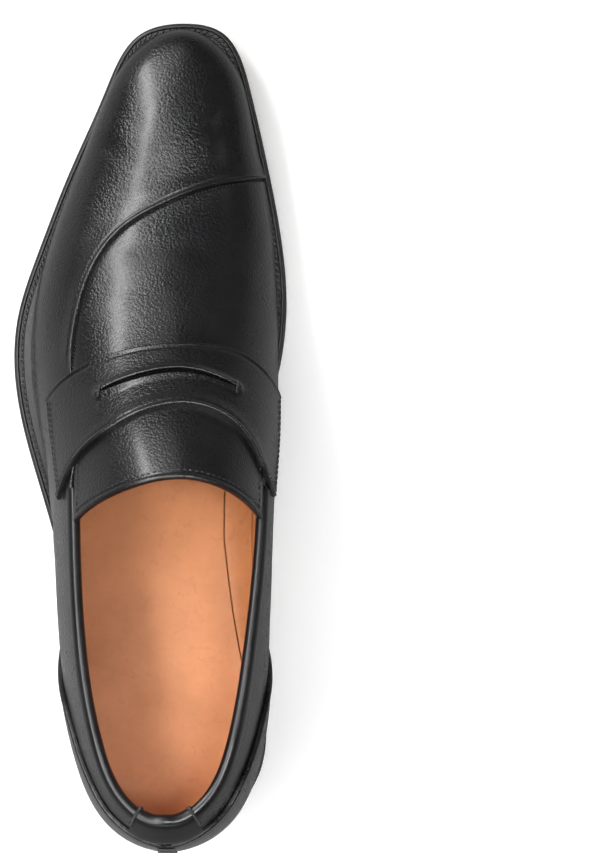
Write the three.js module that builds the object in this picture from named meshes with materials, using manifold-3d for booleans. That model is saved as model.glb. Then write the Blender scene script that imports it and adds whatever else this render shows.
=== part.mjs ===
// Penny loafer, left shoe of a pair, EU 43, black leather with a natural leather lining.
// Millimetres, +Z up, +Y to the toe, +X to the inner side of the foot. While it is built, y = 0 is
// the back of the heel and z = 0 the ground; the finished group is centred on its footprint.
import * as THREE from 'three';
import { mergeVertices } from 'three/addons/utils/BufferGeometryUtils.js';
import Module from 'manifold-3d';

const wasm = await Module();
wasm.setup();

// ---- overall sizes ---------------------------------------------------------------------------
const SHOE_LENGTH = 300;
const LENGTH = SHOE_LENGTH / 300;
const WIDTH = 1.0;
const UPPER_HEIGHT = 1.0;
const GAP = 0.3;

// ---- leather thicknesses, from the foot outwards -----------------------------------------------
const LINING = 1.0;
const STIFFENER = 0.8;
const UPPER = 1.4;
const OVERLAY = 1.4;
const TRIM = 0.7;

// ---- bottom of the shoe ------------------------------------------------------------------------
const WELT_THICK = 3.2;
const OUTSOLE_THICK = 5.0;
const INSOLE_THICK = 2.2;
const SOCK_THICK = 1.0;
const WELT_SETBACK = 0.6;
const WELT_UNDER_FOOT = 3.0;
const RIB_THICK = 1.8;
const STITCH_SETBACK = 2.1;
const STITCH_WIDTH = 0.9;
const STITCH_DEPTH = 0.6;
const GRIP_RIBS = 10;
const GRIP_PITCH = 1.6;
const GRIP_FROM = 137.5;
const GRIP_DEPTH = 0.8;

// ---- heel --------------------------------------------------------------------------------------
const HEEL_LENGTH = 81;
const HEEL_SETBACK = 0.4;
const TOP_PIECE_THICK = 5.5;
const LIFT_THICK = 2.2;
const LIFTS = 4;
const NAIL_R = 1.1;
const NAIL_TOP = 20.5;
const SHANK_WIDTH = 13;
const SHANK_FROM = 62;
const SHANK_TO = 152;

// ---- edges of the upper --------------------------------------------------------------------------
const BINDING_HIGH = 2.0;
const BACK_STRIP_HALF = 3.2;
const HEEL_TAB_HALF = 10;
const TAB_FROM = 74.3 * UPPER_HEIGHT;
const TAB_TO = 86.5 * UPPER_HEIGHT;
const COUNTER_HIGH = 66 * UPPER_HEIGHT;
const PUFF_FROM = 248;
const COUNTER_TO = 74;

// Widest outline of the last: x, y, undercut down to the sole, roundness of the section over it.
const LAST_OUTLINE = [
  [0, 3.5, 3.5, 2.2], [-17.5, 9.5, 4.6, 2.1], [-30.5, 33, 6.0, 1.95], [-37.2, 62, 6.4, 1.85],
  [-40.5, 97, 5.8, 1.95], [-44.0, 135, 2.2, 2.25], [-49.7, 170, 1.0, 2.35], [-48.2, 200, 0.8, 2.35],
  [-37.3, 235, 0.5, 2.35], [-24.2, 267, 0.3, 2.5], [-13, 285.5, 0.1, 2.7], [5, 293.5, 0, 2.7],
  [19, 283.5, 0.1, 2.7], [26.2, 262, 0.4, 2.5], [32.8, 230, 0.8, 2.3], [35.0, 200, 1.4, 2.3],
  [34.0, 165, 4.5, 2.3], [33.0, 125, 9.0, 2.25], [33.0, 92, 8.0, 1.95], [32.9, 60, 5.6, 1.85],
  [29.5, 32, 5.4, 1.95], [17.5, 9.5, 4.4, 2.1],
];
// Ridge of the last: y, x, z. Behind y = 130 it only shapes the walls beside the opening.
const LAST_RIDGE = [
  [0, 0, 94], [40, 0, 99], [70, 1, 103], [100, 3, 102.5], [125, 4, 94.2], [150, 4, 78.9],
  [175, 2, 59.7], [205, -2, 44.2], [232, -1, 36.7], [262, 2, 33.5], [294, 5, 30.9],
];
// Top face of the welt: y, z. The whole bottom follows this line.
const WELT_LINE = [
  [0, 25.6], [35, 25.3], [70, 24.3], [100, 20.2], [135, 13.6], [165, 9.8], [200, 8.56],
  [235, 10.2], [268, 13.1], [300, 16.8],
];
// Outline of the sole: x, y.
const SOLE_OUTLINE = [
  [0, 0], [-14.5, 3.3], [-25.8, 13], [-32.7, 25], [-35.6, 45], [-36.6, 70], [-40.8, 100],
  [-50, 132], [-58, 164], [-58, 190], [-50, 216], [-38.5, 245], [-25, 275], [-12, 296],
  [4, 300], [18, 297], [29, 275], [35.8, 245], [40.9, 216], [42.2, 196], [39.5, 172],
  [31.5, 140], [29.5, 110], [32, 75], [34.8, 45], [32.7, 25], [25.8, 13], [14.5, 3.3],
];
// Seams and edges seen from above: x, y.
const TOE_SEAM = [
  [90, 243], [35.6, 241.6], [27, 240.9], [16.5, 238.6], [7.5, 235.6], [-3.3, 230.8], [-14, 224.7],
  [-21.2, 218.2], [-26.6, 210.2], [-30.1, 201.9], [-32.5, 192.9], [-34.9, 174.9], [-35.5, 152],
  [-32, 136], [-20, 112], [-2, 90],
];
const STRAP_FRONT = [
  [-80, 157], [-43.3, 165.9], [-25.9, 174.7], [-8, 179.6], [8.2, 180.6], [24.1, 178.2],
  [38.2, 168.4], [80, 157],
];
const STRAP_BACK = [
  [-80, 104], [-39.1, 128.4], [-32.3, 139.2], [-19.5, 149.8], [-6, 156.6], [8.7, 158.6],
  [26.1, 149.8], [35.8, 132], [80, 104],
];
const SLOT_LINE = [[-23.6, 163.2], [-8, 168.8], [8.5, 170.2], [24.6, 164.6]];
const SLOT_WIDE = 1.2;
const TONGUE_BACK = [
  [-80, 100], [-32, 118.1], [-19, 127.2], [-6, 132], [7.4, 133.5], [22.8, 128.9], [29.7, 120],
  [80, 96],
];
// Edges seen from the side: y, z.
const TOPLINE = [
  [-30, 86.5], [12, 85], [18, 83.2], [40, 79.5], [76, 73], [112, 65.4], [129, 61.5], [136, 65.1],
];
const STRAP_END = [[168, 33.5], [161, 39.6], [125, 54], [100, 59.6]];
const TONGUE_EDGE = [[140, 63], [134, 67.4], [118.5, 77], [100, 85.6]];
const FOXING_EDGE = [
  [84, 18], [79, 24.6], [66, 37.6], [58, 46.5], [51, 53.5], [43, 59], [33, 64], [23.5, 68.2],
  [14, 71], [-10, 73.5],
];

// ---- curves ------------------------------------------------------------------------------------
// Cubic spline through rows of numbers at the places t; with a period it closes on itself.
function spline(t, rows, period) {
  const closed = period !== undefined;
  const T = closed ? [...t, t[0] + period] : t;
  const V = closed ? [...rows, rows[0]] : rows;
  const n = closed ? t.length : T.length;
  const width = V[0].length;
  const A = Array.from({ length: n }, () => new Float64Array(n + width));
  for (let i = 0; i < n; i++) {
    if (!closed && (i === 0 || i === n - 1)) {
      A[i][i] = 1;
      continue;
    }
    const before = (i + n - 1) % n;
    const back = closed && i === 0 ? T[n] - T[n - 1] : T[i] - T[i - 1];
    const on = T[i + 1] - T[i];
    A[i][before] += back;
    A[i][i] += 2 * (back + on);
    A[i][(i + 1) % n] += on;
    for (let k = 0; k < width; k++) {
      A[i][n + k] = 6 * ((V[i + 1][k] - V[i][k]) / on - (V[i][k] - V[before][k]) / back);
    }
  }
  for (let c = 0; c < n; c++) {
    let p = c;
    for (let r = c + 1; r < n; r++) if (Math.abs(A[r][c]) > Math.abs(A[p][c])) p = r;
    [A[c], A[p]] = [A[p], A[c]];
    for (let r = 0; r < n; r++) {
      if (r === c || A[r][c] === 0) continue;
      const f = A[r][c] / A[c][c];
      for (let k = c; k < n + width; k++) A[r][k] -= f * A[c][k];
    }
  }
  const bend = (i, k) => A[i % n][n + k] / A[i % n][i % n];
  return (x) => {
    const at = closed ? T[0] + ((((x - T[0]) % period) + period) % period) : x;
    let i = 0;
    while (i < T.length - 2 && at >= T[i + 1]) i++;
    const h = T[i + 1] - T[i];
    const d = at - T[i];
    const e = h - d;
    return V[i].map((v, k) => (bend(i, k) * e ** 3 + bend(i + 1, k) * d ** 3) / (6 * h)
      + (v / h - bend(i, k) * h / 6) * e + (V[i + 1][k] / h - bend(i + 1, k) * h / 6) * d);
  };
}

const heightSpline = (rows, scaleX, scaleZ) => spline(
  rows.map((r) => r[0] * LENGTH), rows.map((r) => (r.length === 3 ? [r[1] * scaleX, r[2] * scaleZ] : [r[1]])));
const ridge = heightSpline(LAST_RIDGE, WIDTH, UPPER_HEIGHT);
const weltLine = heightSpline(WELT_LINE, 1, 1);
const weltTop = (y) => weltLine(y)[0];

// A closed outline as a function of its fraction once round, heel first, down the outer side.
function closedOutline(rows) {
  const pts = rows.map((r) => [r[0] * WIDTH, r[1] * LENGTH, ...r.slice(2)]);
  const t = [0];
  pts.forEach((p, i) => {
    const q = pts[(i + 1) % pts.length];
    t.push(t[i] + Math.hypot(q[0] - p[0], q[1] - p[1]));
  });
  const around = t.pop();
  const f = spline(t, pts, around);
  return (s) => f(s * around);
}

// The two sides of a closed outline, moved in by inset(row), as functions of y.
function sidesOf(outline, inset) {
  const N = 1200;
  const e = 1e-4;
  const pts = Array.from({ length: N }, (_, i) => {
    const s = i / N;
    const o = outline(s);
    const a = outline(s + e);
    const b = outline(s - e);
    const tx = a[0] - b[0];
    const ty = a[1] - b[1];
    const l = Math.hypot(tx, ty);
    const d = inset(o);
    return { x: o[0] + (ty / l) * d, y: o[1] - (tx / l) * d, nx: -ty / l, ny: tx / l, row: o };
  });
  let low = 0;
  let high = 0;
  pts.forEach((p, i) => {
    if (p.y < pts[low].y) low = i;
    if (p.y > pts[high].y) high = i;
  });
  const run = (from, to) => {
    const out = [];
    for (let i = from; i !== to; i = (i + 1) % N) out.push(pts[i]);
    return [...out, pts[to]];
  };
  const look = (list) => (y) => {
    let a = 0;
    let b = list.length - 1;
    while (b - a > 1) {
      const m = (a + b) >> 1;
      if (list[m].y <= y) a = m;
      else b = m;
    }
    const k = Math.min(1, Math.max(0, (y - list[a].y) / Math.max(1e-9, list[b].y - list[a].y)));
    const mix = (p, q) => p + (q - p) * k;
    const A = list[a];
    const B = list[b];
    return {
      x: mix(A.x, B.x),
      nx: mix(A.nx, B.nx),
      ny: mix(A.ny, B.ny),
      under: mix(A.row[2] ?? 0, B.row[2] ?? 0),
      round: mix(A.row[3] ?? 2, B.row[3] ?? 2),
    };
  };
  return {
    y0: pts[low].y, y1: pts[high].y, outer: look(run(low, high)), inner: look(run(high, low).reverse()),
  };
}

// ---- the last ----------------------------------------------------------------------------------
const lastOutline = closedOutline(LAST_OUTLINE);
const soleOutline = closedOutline(SOLE_OUTLINE);
const last = sidesOf(lastOutline, () => 0);
const UNDERCUT_HIGH = 26;
const TOE_CAP = { long: 45 * LENGTH, power: 3 };
const HEEL_CAP = { long: 40 * LENGTH, power: 3.6 };

// Point of the last at station y; turn 0 is the outer sole edge, 0.5 the ridge, 1 the inner edge.
function lastPoint(y, turn) {
  const o = last.outer(y);
  const i = last.inner(y);
  const a = turn * Math.PI;
  const c = -Math.cos(a);
  const k = (1 + c) / 2;
  const mix = (p, q) => p * (1 - k) + q * k;
  const V = Math.min(1, Math.max(0, Math.sin(a))) ** (2 / mix(o.round, i.round));
  const [xs, zs] = ridge(y);
  const zf = weltTop(y);
  const et = Math.min(1, Math.max(0, (last.y1 - y) / TOE_CAP.long));
  const eh = Math.min(1, Math.max(0, (y - last.y0) / HEEL_CAP.long));
  const cap = (1 - (1 - et) ** 2) ** (1 / TOE_CAP.power) * (1 - (1 - eh) ** 2) ** (1 / HEEL_CAP.power);
  const H = (zs - zf) * cap;
  const mid = (o.x + i.x) / 2;
  const under = mix(o.under, i.under) * Math.max(0, 1 - (H * V) / UNDERCUT_HIGH) ** 2;
  return new THREE.Vector3(
    mid + (xs - mid) * V * Math.min(1, cap) + ((i.x - o.x) / 2) * c - mix(o.nx, i.nx) * under,
    y - mix(o.ny, i.ny) * under,
    zf + H * V);
}

// The same point moved off the last along its normal.
function offLast(y, turn, off) {
  const yc = Math.min(last.y1 - 0.05, Math.max(last.y0 + 0.05, y));
  const tc = Math.min(1 - 2e-3, Math.max(2e-3, turn));
  const along = lastPoint(yc + 0.02, tc).sub(lastPoint(yc - 0.02, tc));
  const round = lastPoint(yc, tc + 2e-3).sub(lastPoint(yc, tc - 2e-3));
  return lastPoint(y, turn).addScaledVector(round.cross(along).normalize(), off);
}

const CAPS = [0.25, 0.45, 0.62, 0.76, 0.87];
const TURNS = [0, 0.03, 0.08, 0.15, 0.24, 0.325, 0.41];
const BODY_ROWS = 16;
const turns = [...TURNS, 0.5, ...TURNS.map((t) => 1 - t).reverse()];
const capRow = (cap) => (c) => cap.long * (1 - Math.sqrt(1 - c ** cap.power));
const heelRows = CAPS.map(capRow(HEEL_CAP)).map((d) => last.y0 + d);
const toeRows = CAPS.map(capRow(TOE_CAP)).map((d) => last.y1 - d).reverse();
const bodyFrom = heelRows.at(-1);
const bodyStep = (toeRows[0] - bodyFrom) / BODY_ROWS;
const lastRows = [
  ...heelRows, ...Array.from({ length: BODY_ROWS - 1 }, (_, i) => bodyFrom + bodyStep * (i + 1)), ...toeRows,
];

// ---- solids ------------------------------------------------------------------------------------
const toSolid = (geometry) => {
  const g = geometry.clone();
  g.deleteAttribute('normal');
  g.deleteAttribute('uv');
  const merged = mergeVertices(g, 1e-5);
  return new wasm.Manifold(new wasm.Mesh({
    numProp: 3,
    vertProperties: Float32Array.from(merged.attributes.position.array),
    triVerts: Uint32Array.from(merged.index.array),
  }));
};

const solidFrom = (points, faces) => {
  const g = new THREE.BufferGeometry();
  g.setAttribute('position', new THREE.Float32BufferAttribute(points.flatMap((p) => [p.x, p.y, p.z]), 3));
  g.setIndex(faces.flat());
  return toSolid(g);
};

// Everything inside the last grown by off; its sole edge is carried down by drop.
function grownLast(off, drop) {
  const points = [];
  const rows = lastRows.map((y) => {
    const row = turns.map((t) => offLast(y, t, off));
    const low = [row[0], row.at(-1)].map((p) => p.clone().setZ(p.z - drop));
    return [low[0], ...row, low[1]].map((p) => points.push(p) - 1);
  });
  const faces = [];
  for (let r = 0; r + 1 < rows.length; r++) {
    const A = rows[r];
    const B = rows[r + 1];
    A.forEach((a, i) => {
      const j = (i + 1) % A.length;
      faces.push([a, A[j], B[j]], [a, B[j], B[i]]);
    });
  }
  [[last.y0, rows[0], false], [last.y1, rows.at(-1), true]].forEach(([y, row, flip]) => {
    const tip = offLast(y, 0, off).add(offLast(y, 0.5, off)).add(offLast(y, 1, off)).divideScalar(3);
    const top = points.push(tip) - 1;
    const low = points.push(tip.clone().setZ(tip.z - drop)) - 1;
    const add = (a, b, c) => faces.push(flip ? [a, b, c] : [a, c, b]);
    for (let i = 1; i + 2 < row.length; i++) add(row[i], row[i + 1], top);
    add(row.at(-2), row.at(-1), top);
    add(row.at(-1), low, top);
    add(row.at(-1), row[0], low);
    add(row[0], top, low);
    add(row[0], row[1], top);
  });
  return solidFrom(points, faces);
}

// A level-sided slab between two outlines; top and bottom are heights as functions of y.
function slab({ sides, from, to, bottom, top, rows = 25 }) {
  const a = Math.max(from ?? -1e9, sides.y0);
  const b = Math.min(to ?? 1e9, sides.y1);
  const points = [];
  const stations = Array.from({ length: rows }, (_, i) => {
    const blend = i / (rows - 1);
    const round = (1 - Math.cos(Math.PI * blend)) / 2;
    const y = a + (b - a) * round;
    const pointed = (i === 0 && a === sides.y0) || (i === rows - 1 && b === sides.y1);
    const xo = sides.outer(y).x;
    const xi = sides.inner(y).x;
    const xs = pointed ? [(xo + xi) / 2, (xo + xi) / 2] : [xo, xi];
    return [[xs[0], bottom(y)], [xs[1], bottom(y)], [xs[1], top(y)], [xs[0], top(y)]]
      .map(([x, z]) => points.push(new THREE.Vector3(x, y, z)) - 1);
  });
  const faces = [];
  for (let r = 0; r + 1 < rows; r++) {
    for (let i = 0; i < 4; i++) {
      const j = (i + 1) % 4;
      const A = stations[r];
      const B = stations[r + 1];
      faces.push([A[i], B[j], A[j]], [A[i], B[i], B[j]]);
    }
  }
  const A = stations[0];
  const B = stations.at(-1);
  faces.push([A[0], A[1], A[2]], [A[0], A[2], A[3]], [B[0], B[2], B[1]], [B[0], B[3], B[2]]);
  const g = new THREE.BufferGeometry();
  g.setAttribute('position', new THREE.Float32BufferAttribute(points.flatMap((p) => [p.x, p.y, p.z]), 3));
  g.setIndex(faces.flat());
  const merged = mergeVertices(g, 1e-4);
  const idx = Array.from(merged.index.array);
  const kept = [];
  for (let i = 0; i < idx.length; i += 3) {
    const [p, q, r] = idx.slice(i, i + 3);
    if (p !== q && q !== r && r !== p) kept.push(p, q, r);
  }
  merged.setIndex(kept);
  return toSolid(merged);
}

const shapeOf = (pts) => new THREE.Shape(pts.map(([u, v]) => new THREE.Vector2(u, v)));
// Outline seen from above, standing from z0 to z1.
const fromAbove = (pts, z0, z1) => toSolid(
  new THREE.ExtrudeGeometry(shapeOf(pts), { depth: z1 - z0, bevelEnabled: false }).translate(0, 0, z0));
// Outline seen from the side, y against z, running from x0 to x1.
const fromSide = (pts, x0, x1) => toSolid(
  new THREE.ExtrudeGeometry(shapeOf(pts), { depth: x1 - x0, bevelEnabled: false })
    .applyMatrix4(new THREE.Matrix4().set(0, 0, 1, x0, 1, 0, 0, 0, 0, 1, 0, 0, 0, 0, 0, 1)));
const block = (x0, x1, y0, y1, z0, z1) => fromAbove([[x0, y0], [x1, y0], [x1, y1], [x0, y1]], z0, z1);
const post = (x, y, r, z0, z1) => toSolid(
  new THREE.CylinderGeometry(r, r, z1 - z0, 8).rotateX(Math.PI / 2).translate(x, y, (z0 + z1) / 2));

// A smooth line through points seen from above, moved across itself by off.
function line(pts, off = 0, steps = 3) {
  const flat = pts.map(([x, y]) => new THREE.Vector3(x * WIDTH, y * LENGTH, 0));
  const curve = new THREE.CatmullRomCurve3(flat, false, 'centripetal');
  const n = (pts.length - 1) * steps;
  return Array.from({ length: n + 1 }, (_, i) => {
    const p = curve.getPoint(i / n);
    const t = curve.getTangent(i / n);
    return [p.x - t.y * off, p.y + t.x * off];
  });
}
const lengthwise = (pts, up = 0) => pts.map(([y, z]) => [y * LENGTH, z * UPPER_HEIGHT + up]);

// ---- layers of the upper -------------------------------------------------------------------------
const AT_LINING = 0;
const AT_STIFFENER = AT_LINING + LINING + 0.25;
const AT_UPPER = AT_STIFFENER + STIFFENER + 0.25;
const AT_OVERLAY = AT_UPPER + UPPER + 0.25;
const AT_TRIM = AT_OVERLAY + OVERLAY + GAP;
const FAR = 120;

const underFoot = slab({
  sides: { y0: -50, y1: 400, outer: () => ({ x: -FAR }), inner: () => ({ x: FAR }) },
  from: -49,
  to: 399,
  bottom: () => -60,
  top: (y) => weltTop(Math.min(SHOE_LENGTH, Math.max(0, y))) + GAP,
  rows: 48,
});
const layer = (from, thick) => grownLast(from + thick, 0).subtract(grownLast(from, 14)).subtract(underFoot);
const liningLayer = layer(AT_LINING, LINING);
const stiffLayer = layer(AT_STIFFENER, STIFFENER);
const upperLayer = layer(AT_UPPER, UPPER);
const overLayer = layer(AT_OVERLAY, OVERLAY);
const trimLayer = layer(AT_TRIM, TRIM);

// Cutters. Each one takes away all that lies beyond a line.
const backOf = (pts) => [...pts, [FAR, -60], [-FAR, -60]];
const frontOf = (pts) => [...pts, [FAR, 400], [-FAR, 400]];
const aboveTopline = (up) => fromSide(
  [...lengthwise(TOPLINE, up), [136 * LENGTH, 200], [-30 * LENGTH, 200]], -FAR, FAR);
const behindStrapEdge = (off, z0) => fromAbove(backOf(line(STRAP_BACK, off)), z0, 200);
const mouth = (up, off) => aboveTopline(up).add(
  behindStrapEdge(off, 61 * UPPER_HEIGHT).intersect(block(-FAR, FAR, 129 * LENGTH, 300, 0, 200)));
const toeSide = (off) => fromAbove(
  [...line(TOE_SEAM, off), [-2, -60], [-FAR * 2, -60], [-FAR * 2, 400], [FAR, 400]], -20, 200);
const outerHalf = block(-FAR, -GAP / 2, -60, 90, -20, 200);
const innerHalf = block(GAP / 2, FAR, -60, 90, -20, 200);

const openUpper = upperLayer.subtract(mouth(0, 1.6));
const toeAndOuter = toeSide(-GAP / 2).subtract(block(-GAP / 2, FAR, -60, 90, -20, 200)).add(outerHalf);
const vampAndInner = toeSide(GAP / 2).add(block(-FAR, GAP / 2, -60, 90, -20, 200));

const openLining = liningLayer.subtract(mouth(0, 1.6));
const LINING_SPLIT = 150 * LENGTH;
const linerFront = openLining.subtract(block(-FAR, FAR, -60, LINING_SPLIT + GAP / 2, -20, 200));
const linerBack = openLining.subtract(block(-FAR, FAR, LINING_SPLIT - GAP / 2, 400, -20, 200));

const foxingShape = fromSide([...lengthwise(FOXING_EDGE), [-60, 60], [-60, 0], [84 * LENGTH, 0]], -FAR, FAR);
const strapEndShape = fromSide(
  [...lengthwise(STRAP_END), [90 * LENGTH, 200], [260, 200], [260, 33]], -FAR, FAR);
const slot = fromAbove(
  [...line(SLOT_LINE, SLOT_WIDE / 2), ...line(SLOT_LINE, -SLOT_WIDE / 2).reverse()], 40, 120);
const tongueShape = fromSide(
  [...lengthwise(TONGUE_EDGE), [100 * LENGTH, 200], [260, 200], [260, 63]], -FAR, FAR);

const strap = overLayer.intersect(strapEndShape)
  .subtract(behindStrapEdge(0, -20))
  .subtract(fromAbove(frontOf(line(STRAP_FRONT)), -20, 200))
  .subtract(slot);
const tongueOf = (base, back) => base.intersect(tongueShape)
  .intersect(behindStrapEdge(-GAP, -20))
  .subtract(fromAbove(backOf(line(TONGUE_BACK, back)), -20, 200));
const bindingBand = grownLast(AT_UPPER + UPPER, 0).subtract(grownLast(AT_LINING, 14))
  .subtract(aboveTopline(GAP + BINDING_HIGH))
  .intersect(aboveTopline(GAP))
  .intersect(block(-FAR, FAR, -60, 130 * LENGTH, 40, 200));

// ---- bottom ------------------------------------------------------------------------------------
const soleIn = (d) => sidesOf(soleOutline, () => d);
const footIn = (d, share = 1) => sidesOf(lastOutline, (row) => row[2] * share + d);
const weltEdge = soleIn(WELT_SETBACK);
const weltHole = footIn(WELT_UNDER_FOOT);
const ribHole = footIn(WELT_UNDER_FOOT + GAP + RIB_THICK);
const at = (dz) => (y) => weltTop(y) + dz;
const RAND_AT = HEEL_LENGTH * LENGTH + 3;
const OUTSOLE_TOP = -WELT_THICK - GAP;
const OUTSOLE_BOTTOM = OUTSOLE_TOP - OUTSOLE_THICK;

const weltRing = slab({ sides: weltEdge, bottom: at(-WELT_THICK), top: at(0) })
  .subtract(slab({ sides: weltHole, bottom: at(-WELT_THICK - 5), top: at(5) }));
const threadRing = (width, bottom, top, from) => slab(
  { sides: soleIn(STITCH_SETBACK + WELT_SETBACK - width / 2), from, bottom: at(bottom), top: at(top) })
  .subtract(slab({ sides: soleIn(STITCH_SETBACK + WELT_SETBACK + width / 2), bottom: at(bottom - 4), top: at(4) }));
const thread = threadRing(STITCH_WIDTH, -STITCH_DEPTH, 0, RAND_AT + 9);
const threadGroove = threadRing(STITCH_WIDTH + 2 * GAP, -STITCH_DEPTH - GAP, 2, RAND_AT + 9 - GAP);
const welt = weltRing.subtract(block(-FAR, FAR, -60, RAND_AT + GAP / 2, -20, 200)).subtract(threadGroove);
const rand = weltRing.subtract(block(-FAR, FAR, RAND_AT - GAP / 2, 400, -20, 200));
const insoleRib = slab({ sides: footIn(WELT_UNDER_FOOT + GAP), bottom: at(-WELT_THICK), top: at(0) })
  .subtract(slab({ sides: ribHole, bottom: at(-WELT_THICK - 5), top: at(5) }));
const shankPocket = (clear, z0, z1) => slab({
  sides: {
    y0: 0,
    y1: 400,
    outer: () => ({ x: -SHANK_WIDTH / 2 - 2 - clear }),
    inner: () => ({ x: SHANK_WIDTH / 2 - 2 + clear }),
  },
  from: SHANK_FROM * LENGTH - clear,
  to: SHANK_TO * LENGTH + clear,
  bottom: at(z0),
  top: at(z1),
  rows: 12,
});
const shank = shankPocket(0, -1.8, -0.3);
const cork = slab({
  sides: footIn(WELT_UNDER_FOOT + 2 * GAP + RIB_THICK), bottom: at(-WELT_THICK), top: at(0),
}).subtract(shankPocket(GAP, -1.8 - GAP, 5));
const insole = slab({ sides: footIn(3 * GAP), bottom: at(GAP), top: at(GAP + INSOLE_THICK) });
const sock = slab({
  sides: footIn(5 * GAP, 0.95),
  bottom: at(2 * GAP + INSOLE_THICK),
  top: at(2 * GAP + INSOLE_THICK + SOCK_THICK),
});

let outsole = slab({ sides: soleIn(0), bottom: at(OUTSOLE_BOTTOM), top: at(OUTSOLE_TOP), rows: 29 });
for (let i = 0; i < GRIP_RIBS; i++) {
  const y = GRIP_FROM * LENGTH + i * GRIP_PITCH;
  const z = weltTop(y) + OUTSOLE_BOTTOM;
  outsole = outsole.subtract(block(-43 * WIDTH, 25 * WIDTH, y, y + GRIP_PITCH / 2, z - 5, z + GRIP_DEPTH));
}

// ---- heel stack and its nails ----------------------------------------------------------------------
const heelSides = soleIn(HEEL_SETBACK);
const heelEnd = HEEL_LENGTH * LENGTH;
const flat = (z) => () => z;
const heelSlab = (z0, top) => slab({ sides: heelSides, to: heelEnd, bottom: flat(z0), top, rows: 13 });
const lifts = [];
for (let i = 0; i < LIFTS; i++) {
  const z = TOP_PIECE_THICK + GAP + i * (LIFT_THICK + GAP);
  const isSeat = i === LIFTS - 1;
  lifts.push(heelSlab(z, isSeat ? at(OUTSOLE_BOTTOM - GAP) : flat(z + LIFT_THICK)));
}
let topPiece = heelSlab(0, flat(TOP_PIECE_THICK));

const HEEL_NAILS = [[-19, 19], [19, 19], [-23, 62], [22, 62], [0, 40]];
const TOP_NAILS = [[-24, 34], [24, 34], [-27, 70], [26, 70], [-9, 11], [9, 11]];
const heelNails = HEEL_NAILS.map(([x, y]) => [x * WIDTH, y * LENGTH]);
const topNails = TOP_NAILS.map(([x, y]) => [x * WIDTH, y * LENGTH]);
const LIFT_BOTTOM = TOP_PIECE_THICK + GAP;
heelNails.forEach(([x, y]) => {
  const hole = post(x, y, NAIL_R + GAP, LIFT_BOTTOM - 1, NAIL_TOP + GAP);
  lifts.forEach((lift, i) => { lifts[i] = lift.subtract(hole); });
  outsole = outsole.subtract(hole);
});
topNails.forEach(([x, y]) => {
  const hole = post(x, y, NAIL_R + GAP, -1, LIFT_BOTTOM + 1.5 + GAP);
  topPiece = topPiece.subtract(hole);
  lifts[0] = lifts[0].subtract(hole);
});

// ---- scene graph -----------------------------------------------------------------------------------
const paint = (color, roughness, metalness = 0) => () => new THREE.MeshStandardMaterial({
  color, roughness, metalness,
});
const black = paint(0x17181b, 0.32);
const blackEdge = paint(0x1b1b1d, 0.5);
const tan = paint(0xc98a55, 0.6);
const bottomTan = paint(0x9a6a45, 0.55);
const buff = paint(0xb98d62, 0.85);
const corkBrown = paint(0x7a5a3c, 0.95);
const rubberBlack = paint(0x151515, 0.7);
const threadBlack = paint(0x202024, 0.75);
const steel = paint(0x9b9da0, 0.35, 1);
const brass = paint(0xb59a5a, 0.35, 1);

const shoe = new THREE.Group();
function add(name, solid, material) {
  const mesh = solid.getMesh();
  const g = new THREE.BufferGeometry();
  const xyz = new Float32Array(mesh.numVert * 3);
  for (let i = 0; i < mesh.numVert; i++) {
    for (let k = 0; k < 3; k++) xyz[3 * i + k] = mesh.vertProperties[i * mesh.numProp + k];
  }
  g.setAttribute('position', new THREE.BufferAttribute(xyz, 3));
  g.setIndex(new THREE.BufferAttribute(Uint32Array.from(mesh.triVerts), 1));
  g.computeVertexNormals();
  const m = new THREE.Mesh(g, material());
  m.name = name;
  shoe.add(m);
}

add('toe_outer_quarter', openUpper.intersect(toeAndOuter), black);
add('vamp_inner_quarter', openUpper.subtract(vampAndInner), black);
add('saddle_strap', strap, black);
add('counter_foxing', overLayer.intersect(foxingShape), black);
add('tongue', tongueOf(upperLayer, 0), black);
add('tongue_lining', tongueOf(layer(AT_UPPER - 0.25 - LINING, LINING), 1), tan);
add('vamp_lining', linerFront, tan);
add('quarter_lining', linerBack, tan);
add('toe_puff', stiffLayer.subtract(block(-FAR, FAR, -60, PUFF_FROM * LENGTH, -20, 200)), buff);
add('heel_counter', stiffLayer.subtract(block(-FAR, FAR, COUNTER_TO * LENGTH, 400, -20, 200))
  .subtract(block(-FAR, FAR, -60, 400, COUNTER_HIGH, 200)), buff);
add('vamp_interlining', stiffLayer.subtract(block(-FAR, FAR, PUFF_FROM * LENGTH - GAP, 400, -20, 200))
  .subtract(block(-FAR, FAR, -60, 186 * LENGTH, -20, 200)), buff);
add('topline_binding_outer', bindingBand.intersect(outerHalf.add(block(-FAR, -GAP / 2, 89, 200, 0, 200))), black);
add('topline_binding_inner', bindingBand.intersect(innerHalf.add(block(GAP / 2, FAR, 89, 200, 0, 200))), black);
add('heel_tab', overLayer.intersect(block(-HEEL_TAB_HALF, HEEL_TAB_HALF, -60, 30, TAB_FROM, TAB_TO)), black);
add('back_strip', trimLayer.intersect(block(-BACK_STRIP_HALF, BACK_STRIP_HALF, -60, 30, 27, TAB_FROM - 3.3)), black);
[-23.6, 24.6].forEach((x, i) => {
  const y = (i === 0 ? 163.2 : 164.6) * LENGTH;
  const tack = block(x * WIDTH - 2.6, x * WIDTH + 2.6, y - 0.9, y + 0.9, 40, 120);
  add(`slot_tack_${i + 1}`, trimLayer.intersect(tack), threadBlack);
});
[-6, 6].forEach((x, i) => {
  const tack = block(x - 0.8, x + 0.8, -60, 30, TAB_FROM + 1.7, TAB_TO - 2.5);
  add(`tab_tack_${i + 1}`, trimLayer.intersect(tack), threadBlack);
});
add('sock_liner', sock, tan);
add('insole', insole, buff);
add('insole_rib', insoleRib, buff);
add('cork_filler', cork, corkBrown);
add('shank', shank, steel);
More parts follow.
